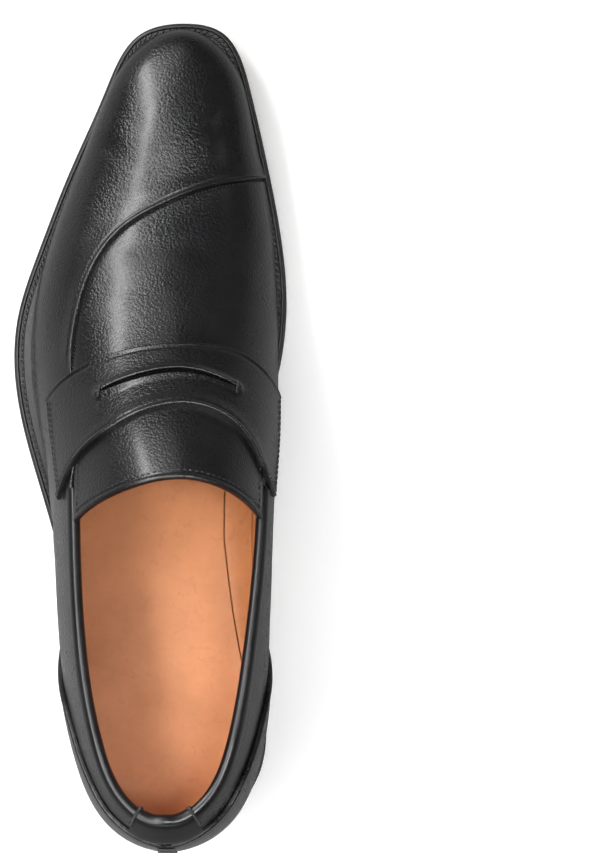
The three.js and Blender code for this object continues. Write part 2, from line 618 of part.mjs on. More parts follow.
add('welt', welt, blackEdge);
add('heel_rand', rand, blackEdge);
add('welt_stitch', thread, threadBlack);
add('outsole', outsole, bottomTan);
lifts.forEach((lift, i) => add(`heel_lift_${i + 1}`, lift, blackEdge));
add('heel_top_piece', topPiece, rubberBlack);
heelNails.forEach(([x, y], i) => {
  add(`heel_nail_${i + 1}`, post(x, y, NAIL_R, LIFT_BOTTOM + 0.2, NAIL_TOP), steel);
});
topNails.forEach(([x, y], i) => {
  add(`top_piece_nail_${i + 1}`, post(x, y, NAIL_R, 0.2, LIFT_BOTTOM + 1.5), brass);
});

const box = new THREE.Box3().setFromObject(shoe);
shoe.position.set(-(box.min.x + box.max.x) / 2, -(box.min.y + box.max.y) / 2, -box.min.z);

export default shoe;
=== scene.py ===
"""Penny loafer in black leather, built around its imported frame.

Shapes are worked out in millimetres in the shoemaker's own frame (y = 0 at the back of the heel,
y = 300 at the tip of the sole, x to the inner side of the foot, z = 0 on the floor). place() turns
them into metres in the frame's coordinates.
"""
import math

import bmesh
import bpy
import numpy as np
from bpy.props import FloatProperty, FloatVectorProperty, PointerProperty
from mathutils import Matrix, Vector, kdtree


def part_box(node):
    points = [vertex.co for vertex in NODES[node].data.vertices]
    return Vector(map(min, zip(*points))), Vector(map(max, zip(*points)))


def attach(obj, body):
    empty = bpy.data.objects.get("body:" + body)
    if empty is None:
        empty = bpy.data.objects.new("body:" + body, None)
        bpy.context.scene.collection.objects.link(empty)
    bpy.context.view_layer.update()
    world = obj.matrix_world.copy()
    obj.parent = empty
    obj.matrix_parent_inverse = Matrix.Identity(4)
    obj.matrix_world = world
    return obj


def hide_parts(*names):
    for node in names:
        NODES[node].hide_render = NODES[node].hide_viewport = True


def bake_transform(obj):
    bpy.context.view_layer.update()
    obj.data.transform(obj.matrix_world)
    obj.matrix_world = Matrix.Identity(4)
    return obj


bl_info = {
    "name": "Penny Loafer",
    "version": (1, 0, 0),
    "blender": (4, 5, 0),
    "location": "View3D > Sidebar > Loafer",
    "description": "Builds a black leather penny loafer piece by piece",
    "category": "Add Mesh",
}

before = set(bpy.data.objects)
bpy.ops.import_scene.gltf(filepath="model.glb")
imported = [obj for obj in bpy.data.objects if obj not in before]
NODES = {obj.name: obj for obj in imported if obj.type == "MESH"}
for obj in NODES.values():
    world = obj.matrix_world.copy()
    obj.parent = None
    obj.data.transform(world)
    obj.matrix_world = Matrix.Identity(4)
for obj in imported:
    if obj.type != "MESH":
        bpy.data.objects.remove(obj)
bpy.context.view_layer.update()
SHOE = "shoe"

# ---- the last -----------------------------------------------------------------------------------
# Widest outline of the last: x, y, undercut down to the sole, roundness of the section over it.
LAST_OUTLINE = np.array([
    (0, 3.5, 3.5, 2.2), (-17.5, 9.5, 4.6, 2.1), (-30.5, 33, 6.0, 1.95), (-37.2, 62, 6.4, 1.85),
    (-40.5, 97, 5.8, 1.95), (-44.0, 135, 2.2, 2.25), (-49.4, 170, 1.0, 2.35), (-47.3, 200, 0.8, 2.35),
    (-36.1, 235, 0.5, 2.35), (-23.2, 267, 0.3, 2.5), (-12.6, 285.5, 0.1, 2.7), (5, 293.5, 0, 2.7),
    (19, 283.5, 0.1, 2.7), (26.2, 262, 0.4, 2.5), (32.8, 230, 0.8, 2.3), (35.0, 200, 1.4, 2.3),
    (34.0, 165, 4.5, 2.3), (33.0, 125, 9.0, 2.25), (33.0, 92, 8.0, 1.95), (32.9, 60, 5.6, 1.85),
    (29.5, 32, 5.4, 1.95), (17.5, 9.5, 4.4, 2.1)], float)
# Ridge of the last: y, x, z.
LAST_RIDGE = np.array([
    (0, 0, 94), (40, 0, 99), (70, 1, 103), (100, 3, 102.5), (125, 4, 94.2), (150, 4, 78.9),
    (175, 2, 59.7), (205, -2, 44.2), (232, -1, 36.7), (262, 2, 33.5), (294, 5, 30.9)], float)
# Top face of the welt: y, z.
WELT_LINE = np.array([
    (0, 25.6), (35, 25.3), (70, 24.3), (100, 20.2), (135, 13.6), (165, 9.8), (200, 8.56),
    (235, 10.2), (268, 13.1), (300, 16.8)], float)
# Outline of the sole: x, y.
SOLE_OUTLINE = np.array([
    (0, 0), (-14.5, 3.3), (-25.8, 13), (-32.7, 25), (-35.6, 45), (-36.6, 70), (-40.8, 100),
    (-50, 132), (-58, 164), (-58, 190), (-50, 216), (-38.5, 245), (-25, 275), (-12, 296),
    (4, 300), (18, 297), (29, 275), (35.8, 245), (40.9, 216), (42.2, 196), (39.5, 172),
    (31.5, 140), (29.5, 110), (32, 75), (34.8, 45), (32.7, 25), (25.8, 13), (14.5, 3.3)], float)
UNDERCUT_HIGH = 26.0
# How finely outlines, seams and edges are sampled: points round, turns, points along, millimetres.
OUTLINE_STEPS = 6000
TURN_STEPS = 301
SEAM_STEPS = 1200
EDGE_STEP = 0.12
TOE_CAP = (45.0, 3.0)
HEEL_CAP = (40.0, 3.6)

# Layers, as distances off the last.
LINING = (0.0, 1.0)
UPPER = (2.3, 3.7)
OVERLAY = (3.95, 5.25)
TONGUE_TOP = (2.3, 3.9)
TONGUE_BACKING = (1.05, 2.25)
BACK_STRIP = (5.65, 6.4)
BACK_STRIP_HALF = 3.2
BACK_STRIP_FROM = 27.0
BACK_STRIP_HIGH = 44.0
STRAP_MIDDLE = 4.6
# How far off the last the middle of each thread lies.
STRAP_THREAD = 5.62
TONGUE_THREAD = 4.0
SEAM_THREAD = 3.6
TACK_THREAD = 6.45

# Bottom of the shoe: heights off the top face of the welt, and thicknesses.
SOLE_TOP = -3.5
SOLE_BOTTOM = -8.5
GAP = 0.3
HEEL_FRONT = 81.0
HEEL_SETBACK = 0.4
TOP_PIECE = 5.5
LIFT = 2.2
LIFTS = 4
GRIP_FROM = 137.5
GRIP_PITCH = 1.6
GRIP_RIBS = 10


def spline(t, v, period=None):
    """Cubic spline through the rows v at the places t; with a period it closes on itself."""
    t = np.asarray(t, float)
    v = np.asarray(v, float).reshape(len(t), -1)
    n = len(t)
    closed = period is not None
    T = np.append(t, t[0] + period) if closed else t
    V = np.vstack([v, v[:1]]) if closed else v
    h = np.diff(T)
    A = np.zeros((n, n))
    B = np.zeros_like(v)
    for i in range(n):
        if not closed and i in (0, n - 1):
            A[i, i] = 1
            continue
        a, b = h[i - 1], h[i]
        A[i, (i - 1) % n] += a
        A[i, i] += 2 * (a + b)
        A[i, (i + 1) % n] += b
        before = V[i - 1] if i else v[-1]
        B[i] = 6 * ((V[i + 1] - V[i]) / b - (V[i] - before) / a)
    M = np.linalg.solve(A, B)
    M = np.vstack([M, M[:1]]) if closed else M

    def at(x):
        x = np.asarray(x, float)
        flat = x.ravel()
        if closed:
            flat = T[0] + np.mod(flat - T[0], period)
        i = np.clip(np.searchsorted(T, flat, side="right") - 1, 0, len(h) - 1)
        d = (flat - T[i])[:, None]
        w = h[i][:, None]
        e = w - d
        out = (M[i] * e**3 + M[i + 1] * d**3) / (6 * w) \
            + (V[i] / w - M[i] * w / 6) * e + (V[i + 1] / w - M[i + 1] * w / 6) * d
        return out.reshape(x.shape + (v.shape[1],))
    return at


def closed_outline(rows):
    """A closed outline as a function of its fraction once round."""
    step = np.linalg.norm(np.roll(rows[:, :2], -1, 0) - rows[:, :2], axis=1)
    f = spline(np.concatenate([[0], np.cumsum(step)[:-1]]), rows, step.sum())
    return lambda s: f(np.asarray(s) * step.sum())


ridge = spline(LAST_RIDGE[:, 0], LAST_RIDGE[:, 1:])
welt_line = spline(WELT_LINE[:, 0], WELT_LINE[:, 1:])
last_outline = closed_outline(LAST_OUTLINE)
sole_outline = closed_outline(SOLE_OUTLINE)


def welt_top(y):
    """Height of the welt's top face at station y."""
    return welt_line(np.clip(y, 0, 300))[..., 0]


def sideways(outline, s):
    """Unit directions out of a closed outline at the fractions s."""
    t = outline(s + 1e-4)[:, :2] - outline(s - 1e-4)[:, :2]
    t /= np.linalg.norm(t, axis=1, keepdims=True)
    return np.stack([-t[:, 1], t[:, 0]], 1)


class Sides:
    """The two sides of a closed outline moved in by inset(rows), looked up by y."""

    def __init__(self, outline, inset):
        s = np.arange(OUTLINE_STEPS) / OUTLINE_STEPS
        o = outline(s)
        n = sideways(outline, s)
        p = o[:, :2] - n * np.asarray(inset(o)).reshape(-1, 1)
        low, high = int(np.argmin(p[:, 1])), int(np.argmax(p[:, 1]))
        self.y0, self.y1 = p[low, 1], p[high, 1]
        extra = o[:, 2:] if o.shape[1] > 2 else np.zeros((len(o), 2))
        rows = np.hstack([p, n, extra])
        rows = np.roll(rows, -low, 0)
        turn = (high - low) % len(rows)
        self.outer = rows[:turn + 1]
        self.inner = np.vstack([rows[turn:], rows[:1]])[::-1]

    def look(self, y, inner):
        """Rows of x, outward x and y, undercut and roundness of one side at the stations y."""
        r = self.inner if inner else self.outer
        key = np.maximum.accumulate(r[:, 1])
        return np.stack([np.interp(y, key, r[:, k]) for k in (0, 2, 3, 4, 5)], -1)


last = Sides(last_outline, lambda o: np.zeros(len(o)))
Y0, Y1 = last.y0, last.y1


def last_point(y, turn):
    """Point of the last at station y; turn 0 is the outer sole edge, 0.5 the ridge, 1 the inner."""
    y, turn = np.broadcast_arrays(np.asarray(y, float), np.asarray(turn, float))
    o = last.look(y, False)
    i = last.look(y, True)
    a = turn * np.pi
    c = -np.cos(a)
    k = ((1 + c) / 2)[..., None]
    m = o * (1 - k) + i * k
    V = np.clip(np.sin(a), 0, 1) ** (2 / m[..., 4])
    r = ridge(y)
    zf = welt_top(y)
    et = np.clip((Y1 - y) / TOE_CAP[0], 0, 1)
    eh = np.clip((y - Y0) / HEEL_CAP[0], 0, 1)
    cap = (1 - (1 - et) ** 2) ** (1 / TOE_CAP[1]) * (1 - (1 - eh) ** 2) ** (1 / HEEL_CAP[1])
    H = (r[..., 1] - zf) * cap
    mid = (o[..., 0] + i[..., 0]) / 2
    under = m[..., 3] * np.clip(1 - H * V / UNDERCUT_HIGH, 0, 1) ** 2
    x = mid + (r[..., 0] - mid) * V * cap + (i[..., 0] - o[..., 0]) / 2 * c - m[..., 1] * under
    return np.stack([x, y - m[..., 2] * under, zf + H * V], -1)


def last_normal(y, turn):
    """Outward unit normal of the last."""
    yc = np.clip(y, Y0 + 0.05, Y1 - 0.05)
    tc = np.clip(turn, 2e-3, 1 - 2e-3)
    along = last_point(yc + 0.02, tc) - last_point(yc - 0.02, tc)
    around = last_point(yc, tc + 2e-3) - last_point(yc, tc - 2e-3)
    n = np.cross(around, along)
    return n / (np.linalg.norm(n, axis=-1, keepdims=True) + 1e-12)


def off_last(y, turn, off):
    """Point at the distance off outside the last."""
    return last_point(y, turn) + last_normal(y, turn) * np.asarray(off, float)[..., None]


def find(y, value, axis, low, high, off):
    """Stations and turns whose points off the last have that y, and that x (axis 0) or z (2)."""
    y = np.asarray(y, float)
    at = y.copy()
    turns = np.linspace(low, high, TURN_STEPS)
    for _ in range(8):
        p = off_last(at[:, None], turns[None] + 0 * at[:, None], off)
        t = np.array([
            np.interp(v, q[:, axis], turns) if q[-1, axis] > q[0, axis]
            else np.interp(v, q[::-1, axis], turns[::-1]) for v, q in zip(value, p)])
        at = at + (y - off_last(at, t, off)[:, 1])
    return np.stack([at, t], -1)


# Where a point of a seam is looked for: the coordinate it is given by, and its lowest and highest turn.
SEARCH = {"top": (0, 0.03, 0.97), "outer": (2, 0.0, 0.5), "inner": (2, 0.5, 1.0)}


def seam(points, off=UPPER[1], count=240):
    """A smooth line on the shoe, as (station, turn) rows evenly spaced along it.

    Each point is ("top", x, y) as seen from above, ("outer" or "inner", y, z) as seen from the side,
    or ("at", station, turn).
    """
    rows = []
    for kind, a, b in points:
        if kind == "at":
            rows.append(np.array([a, b]))
            continue
        y, value = (b, a) if kind == "top" else (a, b)
        rows.append(find([y], [value], *SEARCH[kind], off)[0])
    rows = np.array(rows)
    p = off_last(rows[:, 0], rows[:, 1], off)
    t = np.concatenate([[0], np.cumsum(np.linalg.norm(np.diff(p, axis=0), axis=1))])
    fine = spline(t, rows)(np.linspace(0, t[-1], SEAM_STEPS))
    p = off_last(fine[:, 0], fine[:, 1], off)
    length = np.concatenate([[0], np.cumsum(np.linalg.norm(np.diff(p, axis=0), axis=1))])
    want = np.linspace(0, length[-1], count)
    return np.stack([np.interp(want, length, fine[:, k]) for k in (0, 1)], -1)


def smooth(x):
    """0 to 1, with a soft start and end."""
    x = np.clip(x, 0, 1)
    return x * x * (3 - 2 * x)


def swell(distance, high, at, wide):
    """A soft ridge of that height, at and wide millimetres from a line."""
    return high * np.exp(-((distance - at) / wide) ** 2)


# ---- seams and edges ------------------------------------------------------------------------------
TOE_SEAM = [("top", -35.5, 152), ("top", -34.9, 174.9), ("top", -32.5, 192.9), ("top", -30.1, 201.9),
            ("top", -26.6, 210.2), ("top", -21.2, 218.2), ("top", -14, 224.7), ("top", -3.3, 230.8),
            ("top", 7.5, 235.6), ("top", 16.5, 238.6), ("top", 27, 240.9), ("at", 241.6, 0.9),
            ("at", 241.8, 1.0)]
STRAP_FRONT = [("outer", 161, 39.6), ("outer", 166.2, 46), ("top", -25.9, 174.7), ("top", -8, 179.6),
               ("top", 8.2, 180.6), ("top", 24.1, 178.2), ("inner", 168.6, 48), ("inner", 162, 39.6)]
STRAP_BACK = [("outer", 125, 54), ("top", -32.3, 139.2), ("top", -19.5, 149.8), ("top", -6, 156.6),
              ("top", 8.7, 158.6), ("top", 26.1, 149.8), ("inner", 135, 68), ("inner", 126, 55)]
SLOT = [("outer", 146, 45.0), ("outer", 153.5, 53), ("top", -23.6, 163.2), ("top", -8, 168.8),
        ("top", 8.5, 170.2), ("top", 24.6, 164.6), ("inner", 155, 53), ("inner", 147, 45.0)]
TONGUE_BACK = [("outer", 117.5, 67.8), ("top", -30, 120.2), ("top", -19, 127.2), ("top", -6, 132),
               ("top", 7.4, 133.5), ("top", 22.8, 128.9), ("inner", 118.5, 70)]
TONGUE_FRONT = [("outer", 138, 63.5), ("top", -28.5, 147), ("top", -18.5, 153), ("top", -6, 159.4),
                ("top", 8.7, 161.2), ("top", 23.5, 154), ("inner", 139, 64)]
# Edges that run round the heel: y, z on both sides, and the height of their crest behind it.
TOPLINE = [(12, 85), (18, 83.2), (40, 79.5), (76, 73), (112, 65.4), (129, 61.5)]
TOPLINE_CREST = 85.4
FOXING = [(14, 71), (23.5, 68.2), (33, 64), (43, 59), (51, 53.5), (58, 46.5), (66, 37.6), (79, 24.8)]
FOXING_CREST = 72.6

# ---- units ----------------------------------------------------------------------------------------
_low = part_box("outsole")[0]
_sole = sole_outline(np.linspace(0, 1, 4001))
SHIFT = np.array([_low[0] * 1000 - _sole[:, 0].min(), _low[1] * 1000 - _sole[:, 1].min(), 0.0])


def place(p):
    """Millimetres in the shoemaker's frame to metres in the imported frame."""
    return (np.asarray(p, float) + SHIFT) / 1000


# ---- meshes ---------------------------------------------------------------------------------------
def new_object(name, verts, faces, material, angle=50.0):
    """A smooth-shaded object from millimetres, with edges sharper than angle kept crisp."""
    mesh = bpy.data.meshes.new(name)
    mesh.from_pydata([tuple(v) for v in place(verts)], [], [tuple(f) for f in faces])
    mesh.validate()
    mesh.materials.append(material)
    obj = bpy.data.objects.new(name, mesh)
    bpy.context.scene.collection.objects.link(obj)
    mesh.polygons.foreach_set("use_smooth", np.ones(len(mesh.polygons), bool))
    mesh.set_sharp_from_angle(angle=math.radians(angle))
    return obj


def weld(points, faces, tol=1e-3):
    """Merges points that fall together, and drops the faces that collapse."""
    key = np.round(points / tol).astype(np.int64)
    _, first, back = np.unique(key, axis=0, return_index=True, return_inverse=True)
    back = back.ravel()
    out = []
    for f in faces:
        g = [back[i] for i in f]
        g = [a for k, a in enumerate(g) if a != g[k - 1]]
        if len(g) > 2 and len(set(g)) == len(g):
            out.append(g)
    return first, out


def grid_faces(n, m, base=0):
    """Quads of an n by m grid of points that starts at the index base."""
    i, j = np.meshgrid(np.arange(n - 1), np.arange(m - 1), indexing="ij")
    a = base + i * m + j
    return np.stack([a, a + m, a + m + 1, a + 1], -1).reshape(-1, 4)


def free_edges(faces):
    """Edges that only one face uses, in its direction."""
    seen = {}
    for f in faces:
        for k, a in enumerate(f):
            b = f[(k + 1) % len(f)]
            e = (min(a, b), max(a, b))
            seen[e] = (seen[e][0] + 1, a, b) if e in seen else (1, a, b)
    return [(a, b) for c, a, b in seen.values() if c == 1]


def near(points, line, reach):
    """Distance from each point to a line of points, up to reach."""
    tree = kdtree.KDTree(len(line))
    for k, p in enumerate(line):
        tree.insert(p, k)
    tree.balance()
    return np.array([min(reach, tree.find(p)[2]) for p in points])


def edge_distance(points, edges, reach):
    """Distance from each point to the free edges, up to reach."""
    samples = []
    for a, b in edges:
        n = max(1, int(np.linalg.norm(points[b] - points[a]) / EDGE_STEP))
        for k in range(n):
            samples.append(points[a] + (points[b] - points[a]) * (k / n))
    return near(points, samples, reach)


def rounding(rim, distance):
    """How far a face drops towards an edge of radius rim."""
    return rim - np.sqrt(np.clip(rim**2 - np.clip(rim - distance, 0, rim) ** 2, 0, None))


def closed_sheet(name, points_in, points_out, faces, material, angle=50.0):
    """Closes two matching surfaces into one body along their free edges."""
    edges = free_edges(faces)
    n = len(points_out)
    quads = [list(f) for f in faces]
    quads += [[i + n for i in f[::-1]] for f in faces]
    quads += [[b, a, a + n, b + n] for a, b in edges]
    return new_object(name, np.vstack([points_out, points_in]), quads, material, angle)


def leather(name, patches, layer, material, rim=0.6, lift=None, inner_lift=None):
    """A sheet of leather on the last, from patches of (station, turn) grids welded together.

    rim is the radius of its edges; lift(points) and inner_lift(points) raise its two faces.
    """
    rows, faces, base = [], [], 0
    for patch in patches:
        n, m = patch.shape[:2]
        rows.append(patch.reshape(-1, 2))
        faces += grid_faces(n, m, base).tolist()
        base += n * m
    rows = np.vstack(rows)
    points = off_last(rows[:, 0], rows[:, 1], layer[1])
    first, faces = weld(points, faces)
    rows, points = rows[first], points[first]
    normal = last_normal(rows[:, 0], rows[:, 1])
    f = np.array([g[:3] for g in faces])
    area = np.cross(points[f[:, 1]] - points[f[:, 0]], points[f[:, 2]] - points[f[:, 0]])
    if (area * normal[f[:, 0]]).sum() < 0:
        faces = [g[::-1] for g in faces]
    dist = edge_distance(points, free_edges(faces), 3 * rim + 0.5)
    raised = lift(points) if lift else 0.0
    under = inner_lift(points) if inner_lift else np.zeros(len(points))
    base_points = last_point(rows[:, 0], rows[:, 1])
    outer = base_points + normal * (layer[1] - rounding(rim, dist) + raised)[:, None]
    inner = base_points + normal * (layer[0] + under)[:, None]
    return closed_sheet(name, inner, outer, faces, material)


def pitch(length, step, graded=True):
    """Fractions 0..1 in steps of about that size, with finer ones at both ends if graded."""
    n = max(3, int(round(length / step)))
    t = np.linspace(0, 1, n + 1)
    if graded:
        fine = np.array([0.12, 0.28, 0.5, 0.75, 1.0, 1.35, 1.7, 2.1, 2.5, 3.0, 3.5]) / length
        t = np.concatenate([[0], fine, t[t > fine[-1] + 0.3 / length]])
        t = np.concatenate([t[t < 1 - fine[-1] - 0.3 / length], 1 - fine[::-1], [1]])
    return t


def between(a, b, v):
    """Patch whose rows run from line a to line b, both (n, 2), at the fractions v."""
    return a[:, None] * (1 - v[None, :, None]) + b[:, None] * v[None, :, None]


def heel_stations(to, step=1.0):
    """Stations from the back of the heel: close together where the wall stands up."""
    c = np.linspace(0, 0.93, 64)
    caps = Y0 + HEEL_CAP[0] * (1 - np.sqrt(1 - c ** HEEL_CAP[1]))
    fine = np.concatenate([np.arange(11.5, 17, 0.22), np.arange(17, to, step), [to]])
    all_rows = np.unique(np.concatenate([caps[caps < to], fine]))
    keep = [all_rows[0]]
    for y in all_rows[1:]:
        if y - keep[-1] > 0.03 or len(keep) < 4:
            keep.append(y)
    keep[-1] = to
    return np.array(keep)


def edge_turn(curve, ys):
    """Turn of a top edge, given as a (station, turn) line, at each station; the ridge behind it."""
    o = np.argsort(curve[:, 0])
    t = np.interp(ys, curve[o, 0], curve[o, 1])
    return np.where(ys < curve[:, 0].min(), 0.5, t)


def wall(ys, tops, v, inner):
    """Patch of one side, from the sole edge up to the turn tops at each station."""
    t = 1 - (1 - tops)[:, None] * v[None] if inner else tops[:, None] * v[None]
    return np.stack([ys[:, None] + 0 * t, t], -1)


def heel_halves(curve, ys, step):
    """The two patches of a wall round the heel, up to an edge."""
    v = pitch(60.0, step)
    return [wall(ys, edge_turn(half(curve, inner), ys), v, inner) for inner in (False, True)]


def crest_station(z, off):
    """Station at the back of the heel where the crest of the last is that high."""
    ys = np.linspace(Y0 + 0.001, 24, OUTLINE_STEPS)
    return float(np.interp(z, off_last(ys, 0.5 + 0 * ys, off)[:, 2], ys))


def heel_edge(rows, crest, off):
    """Edge that runs round the back of the heel at the same height on both sides."""
    inner = [("inner", y, z) for y, z in rows[::-1]]
    outer = [("outer", y, z) for y, z in rows]
    return seam(inner + [("at", crest_station(crest, off), 0.5)] + outer, off, 900)


def half(curve, inner):
    """Station and turn of one side of an edge round the heel, from the crest forward."""
    part = curve[curve[:, 1] >= 0.5] if inner else curve[curve[:, 1] <= 0.5]
    return part[np.argsort(part[:, 0])]


def shifted(curve, dist, off=UPPER[1]):
    """The curve moved sideways on the surface, to its left as it runs, by dist millimetres."""
    y, t = curve[:, 0], curve[:, 1]
    p = off_last(y, t, off)
    along = np.gradient(p, axis=0)
    along /= np.linalg.norm(along, axis=1, keepdims=True) + 1e-12
    side = np.cross(last_normal(y, t), along)
    for _ in range(4):
        q = off_last(y, t, off)
        dy = (off_last(y + 0.02, t, off) - off_last(y - 0.02, t, off)) / 0.04
        dt = (off_last(y, t + 1e-3, off) - off_last(y, t - 1e-3, off)) / 2e-3
        want = p + side * dist - q
        a, b, c = (dy * dy).sum(1), (dy * dt).sum(1), (dt * dt).sum(1)
        u, v = (dy * want).sum(1), (dt * want).sum(1)
        det = a * c - b * b + 1e-9
        y = np.clip(y + (c * u - b * v) / det, Y0 + 0.01, Y1 - 0.01)
        t = np.clip(t + (a * v - b * u) / det, 0.0, 1.0)
    return np.stack([y, t], -1)


def at_xz(x, z, off):
    """Stations and turns at the back of the heel for points of that x and z."""
    x, z = np.broadcast_arrays(np.asarray(x, float), np.asarray(z, float))
    ys = np.linspace(Y0 + 0.001, 30, OUTLINE_STEPS)
    crest = off_last(ys, 0.5 + 0 * ys, off)[:, 2]
    y = np.interp(z, crest, ys) + np.abs(x) * 0.12
    t = 0.5 + x * 0.003
    for _ in range(30):
        p = off_last(y, t, off)
        jy = (off_last(y + 0.01, t, off) - off_last(y - 0.01, t, off)) / 0.02
        jt = (off_last(y, t + 1e-3, off) - off_last(y, t - 1e-3, off)) / 2e-3
        ex, ez = x - p[..., 0], z - p[..., 2]
        det = jy[..., 0] * jt[..., 2] - jy[..., 2] * jt[..., 0]
        det = np.where(np.abs(det) < 1e-6, 1e-6, det)
        sy = (ex * jt[..., 2] - ez * jt[..., 0]) / det
        st = (jy[..., 0] * ez - jy[..., 2] * ex) / det
        y = np.clip(y + np.clip(sy, -1.5, 1.5) * 0.7, Y0 + 0.01, 60)
        t = np.clip(t + np.clip(st, -0.05, 0.05) * 0.7, 0.05, 0.95)
    return np.stack([y, t], -1)


def on_surface(curve, off, count=1600):
    """Close-set points along a curve on the surface."""
    k = np.linspace(0, len(curve) - 1, count)
    i = np.arange(len(curve))
    return off_last(np.interp(k, i, curve[:, 0]), np.interp(k, i, curve[:, 1]), off)


TOPLINE_CURVE = heel_edge(TOPLINE, TOPLINE_CREST, UPPER[1])
FOXING_CURVE = heel_edge(FOXING, FOXING_CREST, OVERLAY[1])
SEAM_CURVE = seam(TOE_SEAM, count=500)
SEAM_UNDER = shifted(SEAM_CURVE, 4.0)
# The front edge of the inner quarter and of the lining, under the strap: station, turn.
UNDER_STRAP = np.array([(142, 0.765), (152, 0.685), (158.5, 0.56), (160.8, 0.45), (161.6, 0.33)])


def outer_top(ys, gap):
    """Turn of the top edge of the toe piece and outer quarter at each station."""
    top = half(TOPLINE_CURVE, False)
    front = SEAM_CURVE[np.argsort(SEAM_CURVE[:, 0])]
    rows = np.vstack([top, [(140.0, 0.212)], front])
    t = np.where(ys < top[0, 0], 0.5 - gap, np.interp(ys, *rows.T))
    return np.where(ys >= SEAM_CURVE[-1, 0], 1.0, t)


def inner_top(ys, gap):
    """Turn of the edge where the vamp and inner quarter starts, at each station."""
    top = half(TOPLINE_CURVE, True)
    front = SEAM_UNDER[SEAM_UNDER[:, 0] > 162]
    rows = np.vstack([top, UNDER_STRAP, front[np.argsort(front[:, 0])]])
    return np.where(ys < top[0, 0], 0.5 + gap, np.interp(ys, *rows.T))


def toe_stations(c):
    """Stations up to the tip of the last: close together where the toe stands up."""
    return Y1 - TOE_CAP[0] * (1 - np.sqrt(1 - c[::-1] ** TOE_CAP[1]))


def upper_stations(fine_from, fine_to, end):
    """Stations of an upper piece, close together across the toe seam; end None is the toe's tip."""
    tip = toe_stations(np.linspace(0.0, 0.94, 34)) if end is None else np.array([end])
    rows = [heel_stations(150.0, 1.2), np.arange(151, fine_from, 1.0),
            np.arange(fine_from, fine_to, 0.28), np.arange(fine_to, tip.min(), 1.0), tip]
    return np.unique(np.concatenate(rows))


# Soft dents where the foot bends the shoe: middle, direction, half-width, half-length, depth.
CREASES = (
    ((22, 205, 33), (0.5, 0.85, -0.2), 2.6, 14, 0.42), ((27, 214, 27), (0.35, 0.9, -0.3), 2.2, 11, 0.34),
    ((-34, 172, 36), (0.3, 0.95, 0.0), 3.0, 16, 0.34), ((-20, 252, 30), (0.8, -0.5, 0.1), 3.4, 12, 0.30),
    ((16, 259, 31), (0.9, 0.4, 0.1), 3.0, 11, 0.26), ((-47, 132, 26), (0.1, 0.9, 0.3), 3.2, 20, 0.42),
    ((-43, 112, 30), (-0.1, 0.8, 0.6), 3.0, 18, 0.38), ((36, 130, 28), (0.1, 0.9, 0.4), 3.2, 22, 0.42),
    ((35, 100, 32), (0.0, 0.8, -0.5), 3.0, 18, 0.34), ((5, 200, 46), (1.0, 0.15, 0.0), 4.0, 22, 0.30),
    ((2, 214, 42), (1.0, -0.1, 0.0), 3.6, 18, 0.24))
WAVE_HIGH = 0.10


def creases(points):
    """Soft dents and creases where the foot bends the shoe, over a slight wave all over it."""
    x, y, z = points.T
    out = 0.0 * x
    for middle, direction, wide, long, deep in CREASES:
        d = np.array(direction)
        d = d / np.linalg.norm(d)
        r = points - np.array(middle)
        s = r @ d
        far = np.linalg.norm(r - s[:, None] * d, axis=1)
        out -= deep * np.exp(-(far / wide) ** 2 - (s / long) ** 2)
        out += 0.5 * deep * np.exp(-((far - 2.1 * wide) / (1.2 * wide)) ** 2 - (s / long) ** 2)
    wave = np.sin(x * 0.13 + 1.3 * np.sin(y * 0.043)) * np.sin(y * 0.071 + 0.9 * np.sin(z * 0.11))
    return out + WAVE_HIGH * wave


# ---- stitching ------------------------------------------------------------------------------------
def join(tree, a, b):
    """Links one socket to another."""
    tree.links.new(a, b)


def node(tree, kind, at=(0, 0), values=None, **props):
    """Adds a node, sets its properties, and sets or links its inputs by name or number."""
    n = tree.nodes.new(kind)
    n.location = at
    for key, value in props.items():
        setattr(n, key, value)
    for key, value in (values or {}).items():
        if hasattr(value, "links"):
            tree.links.new(value, n.inputs[key])
        else:
            n.inputs[key].default_value = value
    return n


def sum_node(tree, operation, at, *values):
    """Output of a Math node with those values or sockets."""
    return node(tree, "ShaderNodeMath", at, dict(enumerate(values)), operation=operation).outputs[0]


